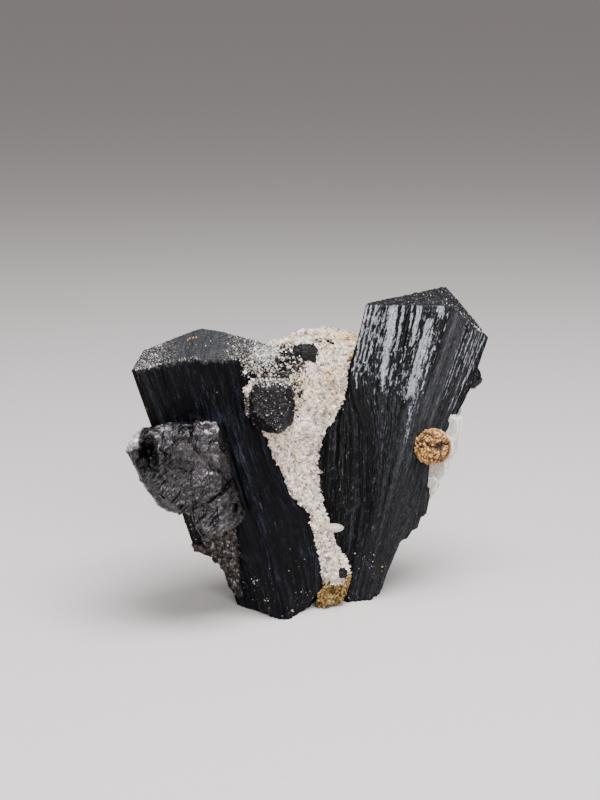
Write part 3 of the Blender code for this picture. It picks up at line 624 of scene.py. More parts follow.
def crystalPoints(shape):
    # the sides, then rings that shrink to the middle of the top and follow its planes
    sides, lustre, matt, places = crystalSides(shape)
    rim = sides[-1]
    rim[:, 2] = topHeight(shape["topPlanes"], rim)
    middle = rim[:, :2].mean(axis=0)
    shares = np.linspace(1, 0, shape["topRings"] + 1)[1:-1, None, None]
    flat = middle + (rim[:, :2] - middle) * shares
    height = topHeight(shape["topPlanes"], flat)
    relief, frost, topMatt = topFinish(shape, flat, height)
    top = stacked(flat[..., 0], flat[..., 1], height + relief)
    grid = np.concatenate([sides, top])
    lustre = np.concatenate([lustre, np.zeros(top.shape[:2])])
    frost = np.concatenate([edgeFrost(shape, sides), frost])
    matt = np.concatenate([matt, topMatt])
    places = np.concatenate([places, flat[..., :2]])
    return grid, {"lustre": lustre, "frost": frost, "matt": matt}, places


def topFinish(shape, flat, height):
    # the ends of the terminations are rough with tiny crystals, and the middle of the left one is smooth
    x, y = flat[..., 0], flat[..., 1]
    spot = stacked(x, y, height)
    distance, _, tone = nearestGrain(spot, 0.55, shape["seed"] + 30)
    isLeft = shape["name"] == "leftCrystal"
    rough = np.full(height.shape, 0.9)
    if isLeft:
        patch = 2.0 * smoothNoise(spot, 3.0, 41)
        rough = np.maximum(smoothStep(-23.5 - x + patch, -2, 2), smoothStep(x + 13.0 + patch, -2.5, 2.5))
        ring = np.arange(len(flat))[:, None] + 1.5 * patch
        front = (1 - smoothStep(ring, 1.5, 4)) * (y < 6)
        rough = np.maximum(rough, 0.8 * front * smoothStep(-x, 16, 20))
    relief = rough * (0.3 * (0.6 - distance) + 0.1 * tone) + 0.04 * smoothNoise(spot, 1.2, 43)
    return relief, 0.1 + 0.75 * rough, np.full(height.shape, 0.95 if isLeft else 0.3)


def edgeFrost(shape, sides):
    # a thin rough edge under the termination
    height = topHeight(shape["topPlanes"], sides)
    ragged = 0.5 * smoothNoise(sides, 0.8, 47)
    return 0.6 * smoothStep(sides[..., 2] - height + ragged, -0.7, -0.1)


def makeCrystal(shape, material):
    grid, finishes, places = crystalPoints(shape)
    points, quads, triangles = closedGrid(grid)
    attributes = {label: np.concatenate([values.ravel(), [0, 0]]) for label, values in finishes.items()}
    uv = np.concatenate([places.reshape(-1, 2), np.zeros((2, 2))]) * mm
    addMesh(shape["name"], points, quads, triangles, material, shape["node"], attributes, uv)
    return grid


leftGrid = makeCrystal(leftCrystal, leftIlvaite)
rightGrid = makeCrystal(rightCrystal, rightIlvaite)
print("big crystals made")


grainShape = {"waist": 0.55, "zigzag": 0.12, "top": 1.0, "foot": -0.8}


def bipyramid():
    # six corners round the waist, in turn a little up and down, and a point above and below
    corner = np.arange(6)
    after = (corner + 1) % 6
    turn = corner * math.tau / 6
    waist = grainShape["waist"]
    ring = stacked(np.cos(turn) * waist, np.sin(turn) * waist, grainShape["zigzag"] * np.cos(3 * turn))
    points = np.concatenate([ring, [[0, 0, grainShape["top"]], [0, 0, grainShape["foot"]]]])
    return points, np.concatenate([stacked(corner, after, 6), stacked(after, corner, 7)])


def insideCrystal(points, shape, margin):
    # true where a point is deeper than the margin inside all of a crystal's sides
    deepest = np.full(len(points), 99.0)
    corners = shape["corners"]
    for side, line in enumerate(corners):
        start = cornerAt(line, points[:, 2])
        along = cornerAt(corners[(side + 1) % len(corners)], points[:, 2]) - start
        normal = stacked(along[:, 1], -along[:, 0]) / np.linalg.norm(along, axis=-1, keepdims=True)
        deepest = np.minimum(deepest, -((points[:, :2] - start) * normal).sum(axis=-1))
    return (deepest > margin) & (points[:, 2] < topHeight(shape["topPlanes"], points) - margin)


def warmth(points):
    # iron tints the druse yellow on its upper right and in soft patches
    upper = smoothStep(points[..., 0], 7, 13) * smoothStep(points[..., 2], 40, 50) * (points[..., 0] < 17)
    patch = smoothStep(smoothNoise(points, 3.5, 57), 0.15, 0.5)
    return np.clip(0.75 * upper * smoothStep(smoothNoise(points, 2.5, 58), -0.5, 0.3) + 0.35 * patch, 0, 1)


def scatterOn(grid, count, seed, wanted=None):
    # places spread evenly over a grid: a quad is drawn by its area times how much is wanted there
    draw = np.random.default_rng(seed)
    right = np.roll(grid, -1, axis=1)
    along, up = (right - grid)[:-1], (grid[1:] - grid[:-1])
    area = np.linalg.norm(np.cross(along, up), axis=-1)
    weight = area if wanted is None else area * wanted[:-1]
    chosen = draw.choice(weight.size, count, p=(weight / weight.sum()).ravel())
    row, column = np.unravel_index(chosen, weight.shape)
    aside, above = draw.random((count, 1)), draw.random((count, 1))
    places = grid[row, column] + along[row, column] * aside + up[row, column] * above
    return places, gridNormals(grid)[row, column]


def addGrains(name, places, normals, sizes, seed, look, node, lean):
    # each grain's axis is the surface normal plus a random lean; the crystal is turned to it, sized and moved
    draw = np.random.default_rng(seed)
    count = len(places)
    axis = normals + lean * draw.normal(size=(count, 3)) * 0.5
    axis /= np.linalg.norm(axis, axis=-1, keepdims=True)
    aside = np.cross(axis, draw.normal(size=(count, 3)))
    aside /= np.linalg.norm(aside, axis=-1, keepdims=True)
    shape, faces = bipyramid()
    ways = (aside, np.cross(axis, aside), axis)
    turned = sum(shape[:, i, None] * way[:, None] for i, way in enumerate(ways))
    points = (places[:, None] + turned * sizes[:, None, None]).reshape(-1, 3)
    allFaces = faces + (np.arange(count) * len(shape))[:, None, None]
    finishes = {"tone": np.repeat(draw.random(count), len(shape)), "warm": warmth(points)}
    addMesh(name, points, [], allFaces, granular[look], node, finishes, None, False)


druse = {
    # height, then the left, middle and right of the front and the right and left of the back
    "rows": (
        (5.4, (8.6, 10.2), (11.0, 10.0), (13.4, 12.8), (14.0, 22.0), (7.0, 22.0)),
        (7.4, (8.3, 9.3), (12.0, 9.2), (14.3, 13.2), (13.0, 22.0), (6.0, 22.0)),
        (10.8, (7.8, 9.0), (11.5, 9.4), (13.5, 13.5), (12.0, 23.0), (5.0, 23.0)),
        (17.0, (7.2, 8.9), (8.8, 9.6), (9.6, 14.5), (10.0, 24.0), (4.0, 24.0)),
        (22.5, (5.6, 7.9), (7.2, 9.2), (7.9, 15.5), (9.0, 25.0), (2.0, 25.0)),
        (28.5, (1.2, 5.6), (5.2, 8.2), (6.5, 16.5), (9.0, 26.0), (0.0, 26.0)),
        (35.4, (-1.6, 4.0), (3.8, 7.2), (6.8, 17.5), (10.0, 27.0), (-3.0, 27.0)),
        (41.3, (-3.8, 2.8), (3.5, 6.8), (10.4, 19.0), (12.0, 28.0), (-5.0, 28.0)),
        (46.0, (-7.0, 0.4), (4.0, 7.4), (12.8, 19.5), (14.0, 29.0), (-6.0, 29.0)),
        (51.9, (-8.0, -0.4), (4.5, 9.5), (14.2, 21.0), (16.0, 30.0), (-7.0, 30.0)),
        (55.5, (-5.8, 3.4), (4.0, 14.0), (15.6, 23.0), (18.0, 31.0), (-6.0, 30.0)),
        (58.0, (0.5, 18.0), (7.0, 20.0), (16.0, 24.0), (19.0, 31.0), (0.0, 30.0)),
        (59.6, (4.0, 25.0), (8.0, 24.0), (14.5, 27.0), (15.0, 31.5), (4.0, 31.0)),
    ),
    "columns": (48, 56, 30, 36, 48),
    "levels": 210, "topRings": 26, "rounding": 12,
    "lump": 3.2, "lumpRise": 0.7, "grain": 0.8, "grainRise": 0.5,
    "grainSize": 0.285, "grainSpread": 0.5, "grainCount": 16000,
}


def druseGrid(shape):
    # each level is the five-cornered outline at its height, its corners rounded by averaging neighbours;
    # lumps and the round backs of grains push it out
    levels = np.array([row[0] for row in shape["rows"]], float)
    outline = np.array([row[1:] for row in shape["rows"]], float)
    heights = np.linspace(levels[0], levels[-1], shape["levels"])
    corners = []
    for i in range(5):
        x, y = (np.interp(heights, levels, outline[:, i, axis]) for axis in (0, 1))
        corners.append(stacked(x, y)[:, None])
    sides = []
    for i, count in enumerate(shape["columns"]):
        share = (np.arange(count) / count)[None, :, None]
        sides.append(corners[i] * (1 - share) + corners[(i + 1) % 5] * share)
    ring = np.concatenate(sides, axis=1)
    for _ in range(shape["rounding"]):
        ring = (np.roll(ring, 1, axis=1) + 2 * ring + np.roll(ring, -1, axis=1)) / 4
    smooth = stacked(ring[..., 0], ring[..., 1], heights[:, None])
    distance, _, tone = nearestGrain(smooth, shape["grain"], 51)
    out = shape["lumpRise"] * roughNoise(smooth, shape["lump"], 53)
    out += shape["grainRise"] * (0.55 - distance + 0.35 * tone)
    walls = smooth + gridNormals(smooth) * out[..., None]
    # rings that shrink over the top, rising a little to its middle
    share = np.linspace(1, 0, shape["topRings"] + 1)[1:-1, None, None]
    middle = walls[-1].mean(axis=0)
    cap = middle + (walls[-1] - middle) * share
    inwards = 1 - share[..., 0]
    distance, _, capTone = nearestGrain(cap, shape["grain"], 51)
    lift = 0.8 * (1 - share[..., 0] ** 2) + shape["lumpRise"] * roughNoise(cap, shape["lump"], 54) * inwards
    cap[..., 2] += lift + shape["grainRise"] * (0.55 - distance + 0.35 * capTone) * inwards
    return np.concatenate([walls, cap]), 0.5 + 0.5 * np.concatenate([tone, capTone])


drusePoints, druseTone = druseGrid(druse)
points, quads, triangles = closedGrid(drusePoints)
# painted shade: the crust between the grains gets six tenths of its tone, so the gaps look dark
finishes = {"tone": np.concatenate([druseTone.ravel(), [0.5, 0.5]]) * 0.6, "warm": warmth(points)}
addMesh("druseCrust", points, quads, triangles, granular["quartz"], "quartz_druse", finishes)
places, normals = scatterOn(drusePoints, druse["grainCount"] * 2, 61)
outside = ~(insideCrystal(places, leftCrystal, 0.5) | insideCrystal(places, rightCrystal, 0.5))
places, normals = places[outside][: druse["grainCount"]], normals[outside][: druse["grainCount"]]
sizes = druse["grainSize"] * np.random.default_rng(62).lognormal(0, druse["grainSpread"], len(places))
addGrains("druseGrains", places, normals, sizes, 63, "quartz", "quartz_druse", 0.8)
print("druse made:", len(places), "grains")


def reachOf(outline, middle, angles):
    # how far each ray from the middle goes to the outline: where it crosses each edge, by cross products
    start = np.asarray(outline, float) - middle
    run = np.roll(start, -1, axis=0) - start
    ray = stacked(np.cos(angles), np.sin(angles))[:, None]
    across = ray[..., 0] * run[:, 1] - ray[..., 1] * run[:, 0]
    across = np.where(np.abs(across) < 1e-9, 1e-9, across)
    distance = (start[:, 0] * run[:, 1] - start[:, 1] * run[:, 0]) / across
    share = (start[:, 0] * ray[..., 1] - start[:, 1] * ray[..., 0]) / across
    met = (share >= -1e-6) & (share <= 1 + 1e-6) & (distance > 0)
    return np.where(met, distance, 0).max(axis=1)


def reliefGrid(shape, front):
    # rings that grow from the middle to the outline, at the depth that front(x, z) gives, then straight back,
    # narrowing to the back
    angles = np.linspace(0, -math.tau, shape["columns"], endpoint=False)
    ways = stacked(np.cos(angles), np.sin(angles))
    ragged = stacked(ways[:, 0] * 9, ways[:, 1] * 9, 0)
    reach = reachOf(shape["outline"], shape["middle"], angles)
    reach = reach + shape["edgeRough"] * roughNoise(ragged, 0.8, shape["seed"], 4)
    shares = np.linspace(0, 1, shape["rings"] + 1)[1:, None, None]
    flat = np.array(shape["middle"]) + ways * reach[:, None] * shares
    depth = front(flat[..., 0], flat[..., 1]) + shape["edgeRound"] * smoothStep(shares[..., 0], 0.93, 1.0)
    face = stacked(flat[..., 0], depth, flat[..., 1])
    back = face[-1].copy()
    back[:, 1] = shape["back"]
    backMiddle = back.mean(axis=0)
    back = backMiddle + (back - backMiddle) * shape["backScale"]
    steps = np.linspace(0, 1, shape["wallRows"] + 1)[1:, None, None]
    wall = face[-1] + (back - face[-1]) * steps
    out = shape["wallRough"] * roughNoise(wall, 2.6, shape["seed"] + 1, 4)[..., None]
    wall += gridNormals(wall) * out * smoothStep(steps, 0, 0.1) * (1 - smoothStep(steps, 0.9, 1.0))
    return np.concatenate([face, wall])


def grainTone(points, shape):
    # one tone for each grain
    _, _, tone = nearestGrain(points, shape["toneSize"], shape["seed"] + 7)
    return 0.5 + 0.3 * tone


block = {
    "outline": (
        (-32.8, 41.0), (-32.0, 43.4), (-29.2, 44.0), (-27.8, 45.2), (-23.3, 45.6), (-18.0, 46.0),
        (-14.1, 45.7), (-12.0, 41.0), (-10.9, 34.5), (-10.7, 32.0), (-9.2, 28.5), (-8.3, 24.4),
        (-12.6, 22.6), (-16.6, 20.8), (-18.4, 23.0), (-19.3, 26.9), (-24.6, 26.6), (-27.0, 28.2),
        (-29.8, 33.0), (-31.2, 37.0),
    ),
    "middle": (-19.0, 34.0), "columns": 420, "rings": 150, "wallRows": 50, "back": 7.5, "backScale": 0.86,
    "edgeRough": 0.35, "edgeRound": 0.5, "wallRough": 0.5, "seed": 71,
    # facets: the depth at a point, the point's x and z, and the depth's slopes in x and z
    "facets": (
        (-8.6, (-22.0, 37.0), (0.12, 0.06)),
        (-9.2, (-14.4, 40.0), (1.7, 0.136)),
        (-8.4, (-25.6, 31.0), (-0.735, -0.746)),
        (-8.6, (-22.0, 43.6), (0.108, 0.9)),
    ),
    "lobe": (-8.0, (-14.0, 27.0), (0.10, -0.07)), "lobeRise": 2.6,
    "hollow": {"x": -28.3, "z": 39.5, "halfWidth": 2.3, "halfHeight": 5.0, "depth": 3.0},
    "cleft": {"x": -14.0, "z": 31.0, "slope": 0.6, "leftEnd": -17.2, "halfWidth": 0.45, "depth": 1.5},
    # low blocks that stand out of the face: left, right, lowest and highest edge, and rise
    "blocks": (
        (-27.3, -23.3, 39.9, 47.0, 0.8), (-23.6, -18.9, 38.8, 42.9, 0.45), (-19.4, -15.2, 33.0, 47.0, 0.4),
    ),
}


def facetDepth(facet, x, z):
    # the depth of a tilted plane
    depth, (x0, z0), (slopeX, slopeZ) = facet
    return depth + slopeX * (x - x0) + slopeZ * (z - z0)


def blockPlaces(x, z):
    # how far out of the hollow a place is, as a share of its reach, a jagged wander for the borders of forms,
    # and the height above the cleft
    hollow, cleft = block["hollow"], block["cleft"]
    outOf = np.hypot((x - hollow["x"]) / hollow["halfWidth"], (z - hollow["z"]) / hollow["halfHeight"])
    jag = 0.5 * roughNoise(stacked(x, 0, z), 1.3, 94)
    return outOf, jag, z - cleft["z"] - cleft["slope"] * (x - cleft["x"]) + 0.3 * jag


def blockFront(x, z):
    # the furthest back of the facets, a hollow on the left, low blocks, and the lobe below its cleft
    outOf, jag, above = blockPlaces(x, z)
    depth = np.max([facetDepth(facet, x, z) for facet in block["facets"]], axis=0)
    edge = 0.3 * smoothNoise(stacked(x, 0, z), 1.6, 88)
    depth = depth + block["hollow"]["depth"] * (1 - np.clip(outOf + edge, 0, 1))
    for left, right, low, high, rise in block["blocks"]:
        inside = smoothStep(x + jag, left, left + 0.5) * (1 - smoothStep(x + jag, right - 0.5, right))
        inside = inside * smoothStep(z + jag, low, low + 0.5) * (1 - smoothStep(z + jag, high - 0.5, high))
        depth = depth - rise * inside
    cleft = block["cleft"]
    lobe = np.maximum(facetDepth(block["lobe"], x, z), depth - block["lobeRise"])
    lobe = lobe + cleft["depth"] * (np.abs(above) < cleft["halfWidth"]) * (x > cleft["leftEnd"])
    depth = np.where(above < cleft["halfWidth"], lobe, depth)
    # tipped chips with wavy borders, slanting ridges, lumps, and the ripples of a curved break
    spot = stacked(x, depth, z)
    warped = spot + 0.9 * stacked(*(smoothNoise(spot, 1.8, 73 + i) for i in range(3)))
    depth = depth + chips(warped, 6.0, 0.24, 73)
    slanted = stacked((x - z) / 1.1, (x + z) / 3.0, 0)
    depth = depth + 0.32 * (0.5 - np.abs(roughNoise(slanted, 1.0, 76, 3)))
    depth = depth + 0.3 * roughNoise(spot, 2.6, 81, 4) + 0.14 * (0.5 - np.abs(roughNoise(spot, 0.9, 82, 2)))
    return depth + 0.05 * np.sin((0.8 * x - 0.6 * z) * 3.2 + 3.0 * smoothNoise(spot, 4.0, 79))


def blockToneAndPaintedLight(points):
    # mottling at two sizes, with painted sparkles outside the hollow
    x, _, z = points.T
    outOf, jag, above = blockPlaces(x, z)
    _, _, chip = nearestGrain(points + 0.5 * smoothNoise(points, 1.5, 86)[..., None], 3.6, 87)
    tone = 0.29 + 0.05 * chip + 0.12 * roughNoise(points, 1.8, 83, 4)
    tone += 0.45 * smoothStep(roughNoise(points, 0.55, 84), 0.7, 1.1) * smoothStep(outOf, 0.9, 1.2)
    tone += 0.09 * smoothStep(x, -19.5, -17) * (1 - smoothStep(x, -14.5, -13.5)) * smoothStep(z, 32, 34)
    # painted shade: dark in the hollow and in patches below it, darker on the lower left and right facets
    tone -= 0.4 * (1 - smoothStep(outOf + 0.3 * smoothNoise(points, 1.6, 88), 0.75, 1.1))
    below = np.hypot((x + 29.6) / 2.4, (z - 36.4) / 4.2) + 0.3 * smoothNoise(points, 1.3, 90)
    tone -= 0.3 * (1 - smoothStep(below, 0.8, 1.1)) * (1 - smoothStep(roughNoise(points, 0.6, 92), 0.5, 0.9))
    facet = np.argmax([facetDepth(facet, x, z) for facet in block["facets"]], axis=0)
    tone -= 0.2 * (facet == 2) + 0.12 * (facet == 1)
    # painted light makes the low blocks lighter, and painted shade makes the gap between two of them dark
    for (left, right, low, high, _), paintedLight in zip(block["blocks"], (0.14, 0.12, 0.07)):
        tone += paintedLight * ((x + jag > left) & (x + jag < right) & (z + jag > low) & (z + jag < high))
    gap = smoothStep(x, -23.0, -22.2) * (1 - smoothStep(x, -19.4, -18.6))
    tone -= 0.3 * gap * smoothStep(z + jag, 43.0, 43.6)
    # greyer on the lobe, and black in its cleft, a painted shade
    slanted = stacked((x - z) / 0.5, (x + z) / 2.5, 0)
    tone += (0.14 + 0.2 * roughNoise(slanted, 1.0, 89)) * smoothStep(-above, 0, 0.6) * (x > -18.5)
    tone -= 0.6 * (np.abs(above) < 0.3) * (x > block["cleft"]["leftEnd"]) * (x < -13)
    # painted highlights on the upper left corner, in places along the top edge, and down the upper right edge
    tone += 0.55 * smoothStep(-x - jag, 29.9, 30.2) * smoothStep(z + jag, 40.9, 41.3)
    tone += 0.36 * smoothStep(z + 0.5 * jag, 43.8, 44.4) * smoothStep(roughNoise(points, 1.7, 85), 0.1, 0.4)
    tone += 0.2 * (1 - smoothStep(np.abs(x + 14.2), 0.3, 1.0)) * smoothStep(z, 36, 39)
    return np.clip(tone, 0, 1)


addClosed("brokenBlock", reliefGrid(block, blockFront), "broken", "broken_block", blockToneAndPaintedLight, False)

matrix = {
    "outline": (
        (-17.6, 22.6), (-14.0, 23.6), (-10.4, 24.0), (-9.9, 17.0), (-9.8, 9.0), (-8.9, 2.8), (-10.9, 2.2),
        (-12.6, 6.0), (-14.2, 10.0), (-16.2, 12.2), (-19.9, 13.4), (-20.6, 15.2), (-17.8, 16.2),
    ),
    "middle": (-12.5, 15.0), "columns": 300, "rings": 80, "wallRows": 16, "back": 13.0, "backScale": 0.86,
    "edgeRough": 0.5, "edgeRound": 0.6, "wallRough": 0.4, "seed": 91, "toneSize": 0.7,
    "grain": 0.9, "toneRise": 0.2, "lump": 2.2, "lumpRise": 0.8,
}


def leftFaceDepth(x, z):
    # depth of the left crystal's front left side: a straight line between its two corner lines, and steeply
    # back beyond the left one
    left, right = (cornerAt(line, z) for line in leftCrystal["corners"][:2])
    share = (x - left[..., 0]) / (right[..., 0] - left[..., 0])
    return left[..., 1] + (right[..., 1] - left[..., 1]) * np.maximum(share, 0) - 2.0 * np.minimum(share, 0)


def rubble(x, z, shape):
    # lumps, with dents between grains
    spot = stacked(x, 0, z)
    distance, _, tone = nearestGrain(spot, shape["grain"], shape["seed"] + 2)
    lumps = shape["lumpRise"] * roughNoise(spot, shape["lump"], shape["seed"] + 4)
    return lumps + 0.5 * (distance - 0.5) + shape["toneRise"] * tone


addClosed(
    "roughMatrix", reliefGrid(matrix, lambda x, z: leftFaceDepth(x, z) - 1.5 + rubble(x, z, matrix)),
    "matrix", "rough_matrix", lambda points: grainTone(points, matrix),
)

stained = {
    "outline": (
        (7.0, 0.4), (7.6, 4.0), (9.4, 5.9), (11.4, 6.6), (13.9, 7.4), (15.2, 6.6), (14.6, 3.6), (12.6, 0.5),
    ),
    "middle": (11.2, 3.2), "columns": 220, "rings": 50, "wallRows": 10, "back": 20.0, "backScale": 0.8,
    "edgeRough": 0.25, "edgeRound": 0.4, "wallRough": 0.3, "seed": 101, "toneSize": 0.6,
    "grain": 0.8, "toneRise": 0.25, "lump": 1.8, "lumpRise": 0.7,
}
addClosed(
    "stainedMatrix",
    reliefGrid(stained, lambda x, z: 9.6 + 0.45 * np.maximum(0, x - 9) + rubble(x, z, stained)),
    "stained", "stained_matrix", lambda points: grainTone(points, stained),
)
print("broken and rough masses made")


def ballGrid(shape, out):
    # a sphere's rings from its lower pole to its upper one, each point moved out by out(direction)
    turn = np.arange(shape["columns"]) * math.tau / shape["columns"]
    tilt = np.linspace(-math.pi / 2, math.pi / 2, shape["rows"] + 2)[1:-1, None]
    ways = stacked(np.cos(tilt) * np.cos(turn), np.cos(tilt) * np.sin(turn), np.sin(tilt))
    return np.array(shape["middle"]) + ways * np.array(shape["radius"]) * (1 + out(ways))[..., None]


ball = {
    "middle": (33.4, 17.7, 35.4), "radius": 4.0, "columns": 300, "rows": 150,
    "grain": 0.55, "grainRise": 0.11, "fineGrain": 0.28,
    "crackHeight": 0.26, "crackWidth": 0.09, "crackDepth": 0.13, "pit": (0.27, -0.94, 0.2), "pitReach": 0.3,
}


def ballOut(ways):
    # grains at two sizes over soft lumps, a crack that wanders across the upper front, and a pit on it
    spot = ways * ball["radius"]
    distance, _, tone = nearestGrain(spot, ball["grain"], 111)
    fine, _, _ = nearestGrain(spot, ball["fineGrain"], 112)
    lumps = roughNoise(spot, 1.6, 113)
    line = ball["crackHeight"] + 0.22 * roughNoise(spot, 1.5, 115) - ways[..., 2]
    crack = (1 - smoothStep(np.abs(line), 0, ball["crackWidth"])) * smoothStep(-ways[..., 1], 0.2, 0.6)
    pit = np.clip(1 - np.linalg.norm(ways - np.array(ball["pit"]), axis=-1) / ball["pitReach"], 0, 1)
    grains = ball["grainRise"] * (0.5 - distance + 0.4 * tone) + 0.04 * (0.5 - fine)
    return grains + 0.04 * lumps - ball["crackDepth"] * np.maximum(crack, pit * 0.9)


# painted shade and light: the tone falls in pits, the crack and between grains, and rises on proud grains
addClosed(
    "sideriteBall", ballGrid(ball, ballOut), "siderite", "siderite_ball",
    lambda points: smoothStep(np.linalg.norm(points - ball["middle"], axis=-1) / ball["radius"], 0.9, 1.09),
)
knob = {"middle": (11.2, 11.9, 18.2), "radius": (2.2, 1.5, 0.95), "columns": 80, "rows": 50}
addClosed(
    "druseKnob", ballGrid(knob, lambda ways: 0.06 * roughNoise(ways, 0.8, 121)), "knob", "quartz_druse",
    lambda points: np.full(len(points), 0.6),
)
bump = {"middle": (43.1, 34.6, 48.1), "radius": 2.7, "columns": 90, "rows": 60}
addClosed(
    "edgeBump", ballGrid(bump, lambda ways: 0.06 * roughNoise(ways, 0.9, 123) + chips(ways, 0.8, 0.2, 125)),
    "drusy", "right_ilvaite_crystal", lambda points: 0.45 + 0.2 * smoothNoise(points, 0.8, 126),
)

smallCrystal = {
    "middle": (-2.8, 48.4),
    "face": ((-6.6, 50.6), (-4.2, 52.6), (0.2, 52.4), (1.2, 49.4), (0.9, 45.6), (-1.2, 43.8), (-6.0, 48.0)),
    "rim": (
        (-8.1, 50.9), (-4.9, 54.0), (0.9, 53.8), (2.4, 50.0),
        (2.2, 44.8), (-0.8, 42.2), (-5.4, 43.2), (-7.9, 47.2),
    ),
    "faceDepth": -3.0, "rimDepth": 0.4, "backDepth": 8.5, "columns": 260,
    # rings over the face, down the bevel and to the back
    "rings": (50, 30, 20),
    # the face slopes back with height over a level, and the rim with x right of a place
    "faceSlope": (0.12, 48), "rimSlope": (0.1, -3),
}


def smallCrystalGrid(shape):
    # rings from the middle of the front face to its edge, down the bevel to the rim, then straight back
    angles = np.linspace(0, -math.tau, shape["columns"], endpoint=False)
    faceReach, rimReach = (reachOf(shape[edge], shape["middle"], angles) for edge in ("face", "rim"))
    face, bevel, back = (np.linspace(0, 1, rings + 1)[1:, None] for rings in shape["rings"])
    reach = [faceReach * face, faceReach + (rimReach - faceReach) * bevel, rimReach + 0 * back]
    ways = stacked(np.cos(angles), np.sin(angles))
    flat = np.array(shape["middle"]) + ways * np.concatenate(reach)[..., None]
    slope, level = shape["faceSlope"]
    faceY = shape["faceDepth"] + slope * (flat[: len(face), :, 1] - level)
    slope, level = shape["rimSlope"]
    rimY = shape["rimDepth"] + slope * (flat[-len(back) - 1, :, 0] - level)
    bevelY = faceY[-1] + (rimY - faceY[-1]) * bevel
    depth = np.concatenate([faceY, bevelY, rimY + (shape["backDepth"] - rimY) * back])
    grid = stacked(flat[..., 0], depth, flat[..., 1])
    distance, _, tone = nearestGrain(grid, 0.7, 131)
    out = 0.3 * (0.5 - distance) + 0.14 * tone + 0.12 * smoothNoise(grid, 2.0, 133)
    return grid + gridNormals(grid) * out[..., None], 0.5 + 0.18 * tone


smallGrid, smallTone = smallCrystalGrid(smallCrystal)
addClosed(
    "smallCrystal", smallGrid, "drusy", "small_ilvaite_crystal",
    lambda points: np.concatenate([smallTone.ravel(), [0.5, 0.5]]),
)


def stubbyGrid(shape):
    # a six-sided prism, with a bevelled top, from rings that grow, climb and shrink; its flats are rough
    width, depth, height = shape["size"]
    turn = np.arange(shape["columns"]) * math.tau / shape["columns"]
    sixth = math.tau / 6
    flatness = math.cos(sixth / 2) / np.cos((turn % sixth) - sixth / 2)
    # the profile: shares of the full width, and of the height from the middle
    scales = (0.0, 1.0, 1.0, 1.0, 0.78, 0.55, 0.3)
    levels = (-0.5, -0.5, -0.1, 0.15, 0.32, 0.5, 0.5)
    steps = np.linspace(0.1, 6, 48)
    scale, level = (np.interp(steps, np.arange(7), profile)[:, None] for profile in (scales, levels))
    across = scale * flatness * np.cos(turn) * width / 2
    back = scale * flatness * np.sin(turn) * depth / 2
    spin = math.radians(shape["turn"])
    x, y, z = shape["middle"]
    grid = stacked(
        x + across * math.cos(spin) - back * math.sin(spin),
        y + across * math.sin(spin) + back * math.cos(spin),
        z + level * height,
    )
    distance, _, tone = nearestGrain(grid, 0.6, 141)
    return grid + gridNormals(grid) * (0.25 * (0.5 - distance) + 0.08 * tone)[..., None]


stubbyCrystals = (
    {
        "name": "topCrystal", "node": "druse_top_crystal",
        "middle": (4.8, 17.8, 56.8), "size": (6.6, 4.6, 3.8), "turn": 20, "columns": 96,
    },
    {
        "name": "footCrystal", "node": "druse_foot_crystal",
        "middle": (13.1, 9.9, 8.4), "size": (2.2, 2.4, 2.0), "turn": 10, "columns": 72,
    },
)
for shape in stubbyCrystals:
    addClosed(
        shape["name"], stubbyGrid(shape), "drusy", shape["node"],
        lambda points: 0.55 + 0.2 * smoothNoise(points, 0.5, 143), False,
    )
print("rounded pieces and small crystals made")

calcite = {
    "blades": (
        {"middle": (39.2, 30.6, 40.6), "size": (3.2, 2.4, 6.0), "lean": 6},
        {"middle": (38.6, 29.4, 37.0), "size": (5.0, 3.4, 7.4), "lean": 14},
        {"middle": (37.1, 28.5, 32.6), "size": (6.2, 3.8, 8.6), "lean": 20},
        {"middle": (35.2, 27.6, 28.2), "size": (6.4, 3.8, 7.8), "lean": 26},
        {"middle": (33.7, 27.2, 23.9), "size": (4.0, 3.4, 7.4), "lean": 24},
    ),
    "outline": (
        (-0.5, -0.35), (-0.15, -0.5), (0.35, -0.38), (0.5, 0.05), (0.28, 0.42), (-0.1, 0.5), (-0.5, 0.3),
    ),
    "leaves": 7, "leafThickness": 0.4, "shift": 1.2, "columns": 72, "rings": 12,
}


def bladeGrid(middle, width, height, lean, seed):
    # rings out over one face and back over the other; the thickness is even and rounds off at the edge, the
    # faces are ridged, and the plate waves a little
    angles = np.arange(calcite["columns"]) * -math.tau / calcite["columns"]
    reach = reachOf(calcite["outline"], (0.0, 0.0), angles)
    reach = reach * (1 + 0.07 * smoothNoise(stacked(angles * 4, seed, 0), 1, 153))
    rings = calcite["rings"]
    shares = np.concatenate([np.linspace(0, 1, rings + 1)[1:], np.linspace(1, 0, rings + 1)[1:-1]])[:, None]
    faceSide = np.concatenate([np.full(rings, -1.0), np.full(rings - 1, 1.0)])[:, None]
    across = reach * np.cos(angles) * shares * width
    up = reach * np.sin(angles) * shares * height
    thick = calcite["leafThickness"] * np.sqrt(np.maximum(0, 1 - shares**10)) * faceSide
    ridges = smoothNoise(stacked(across / 0.6, up / 4.0, seed), 1, 154)
    thick = thick + 0.12 * faceSide * ridges * smoothStep(1 - shares, 0, 0.2)
    wave = 0.15 * smoothNoise(stacked(across, up, seed), 2.5, 151)
    tip = math.radians(lean)
    x, y, z = middle
    return stacked(
        x + across * math.cos(tip) + up * math.sin(tip),
        y + thick + wave,
        z - across * math.sin(tip) + up * math.cos(tip),
    )


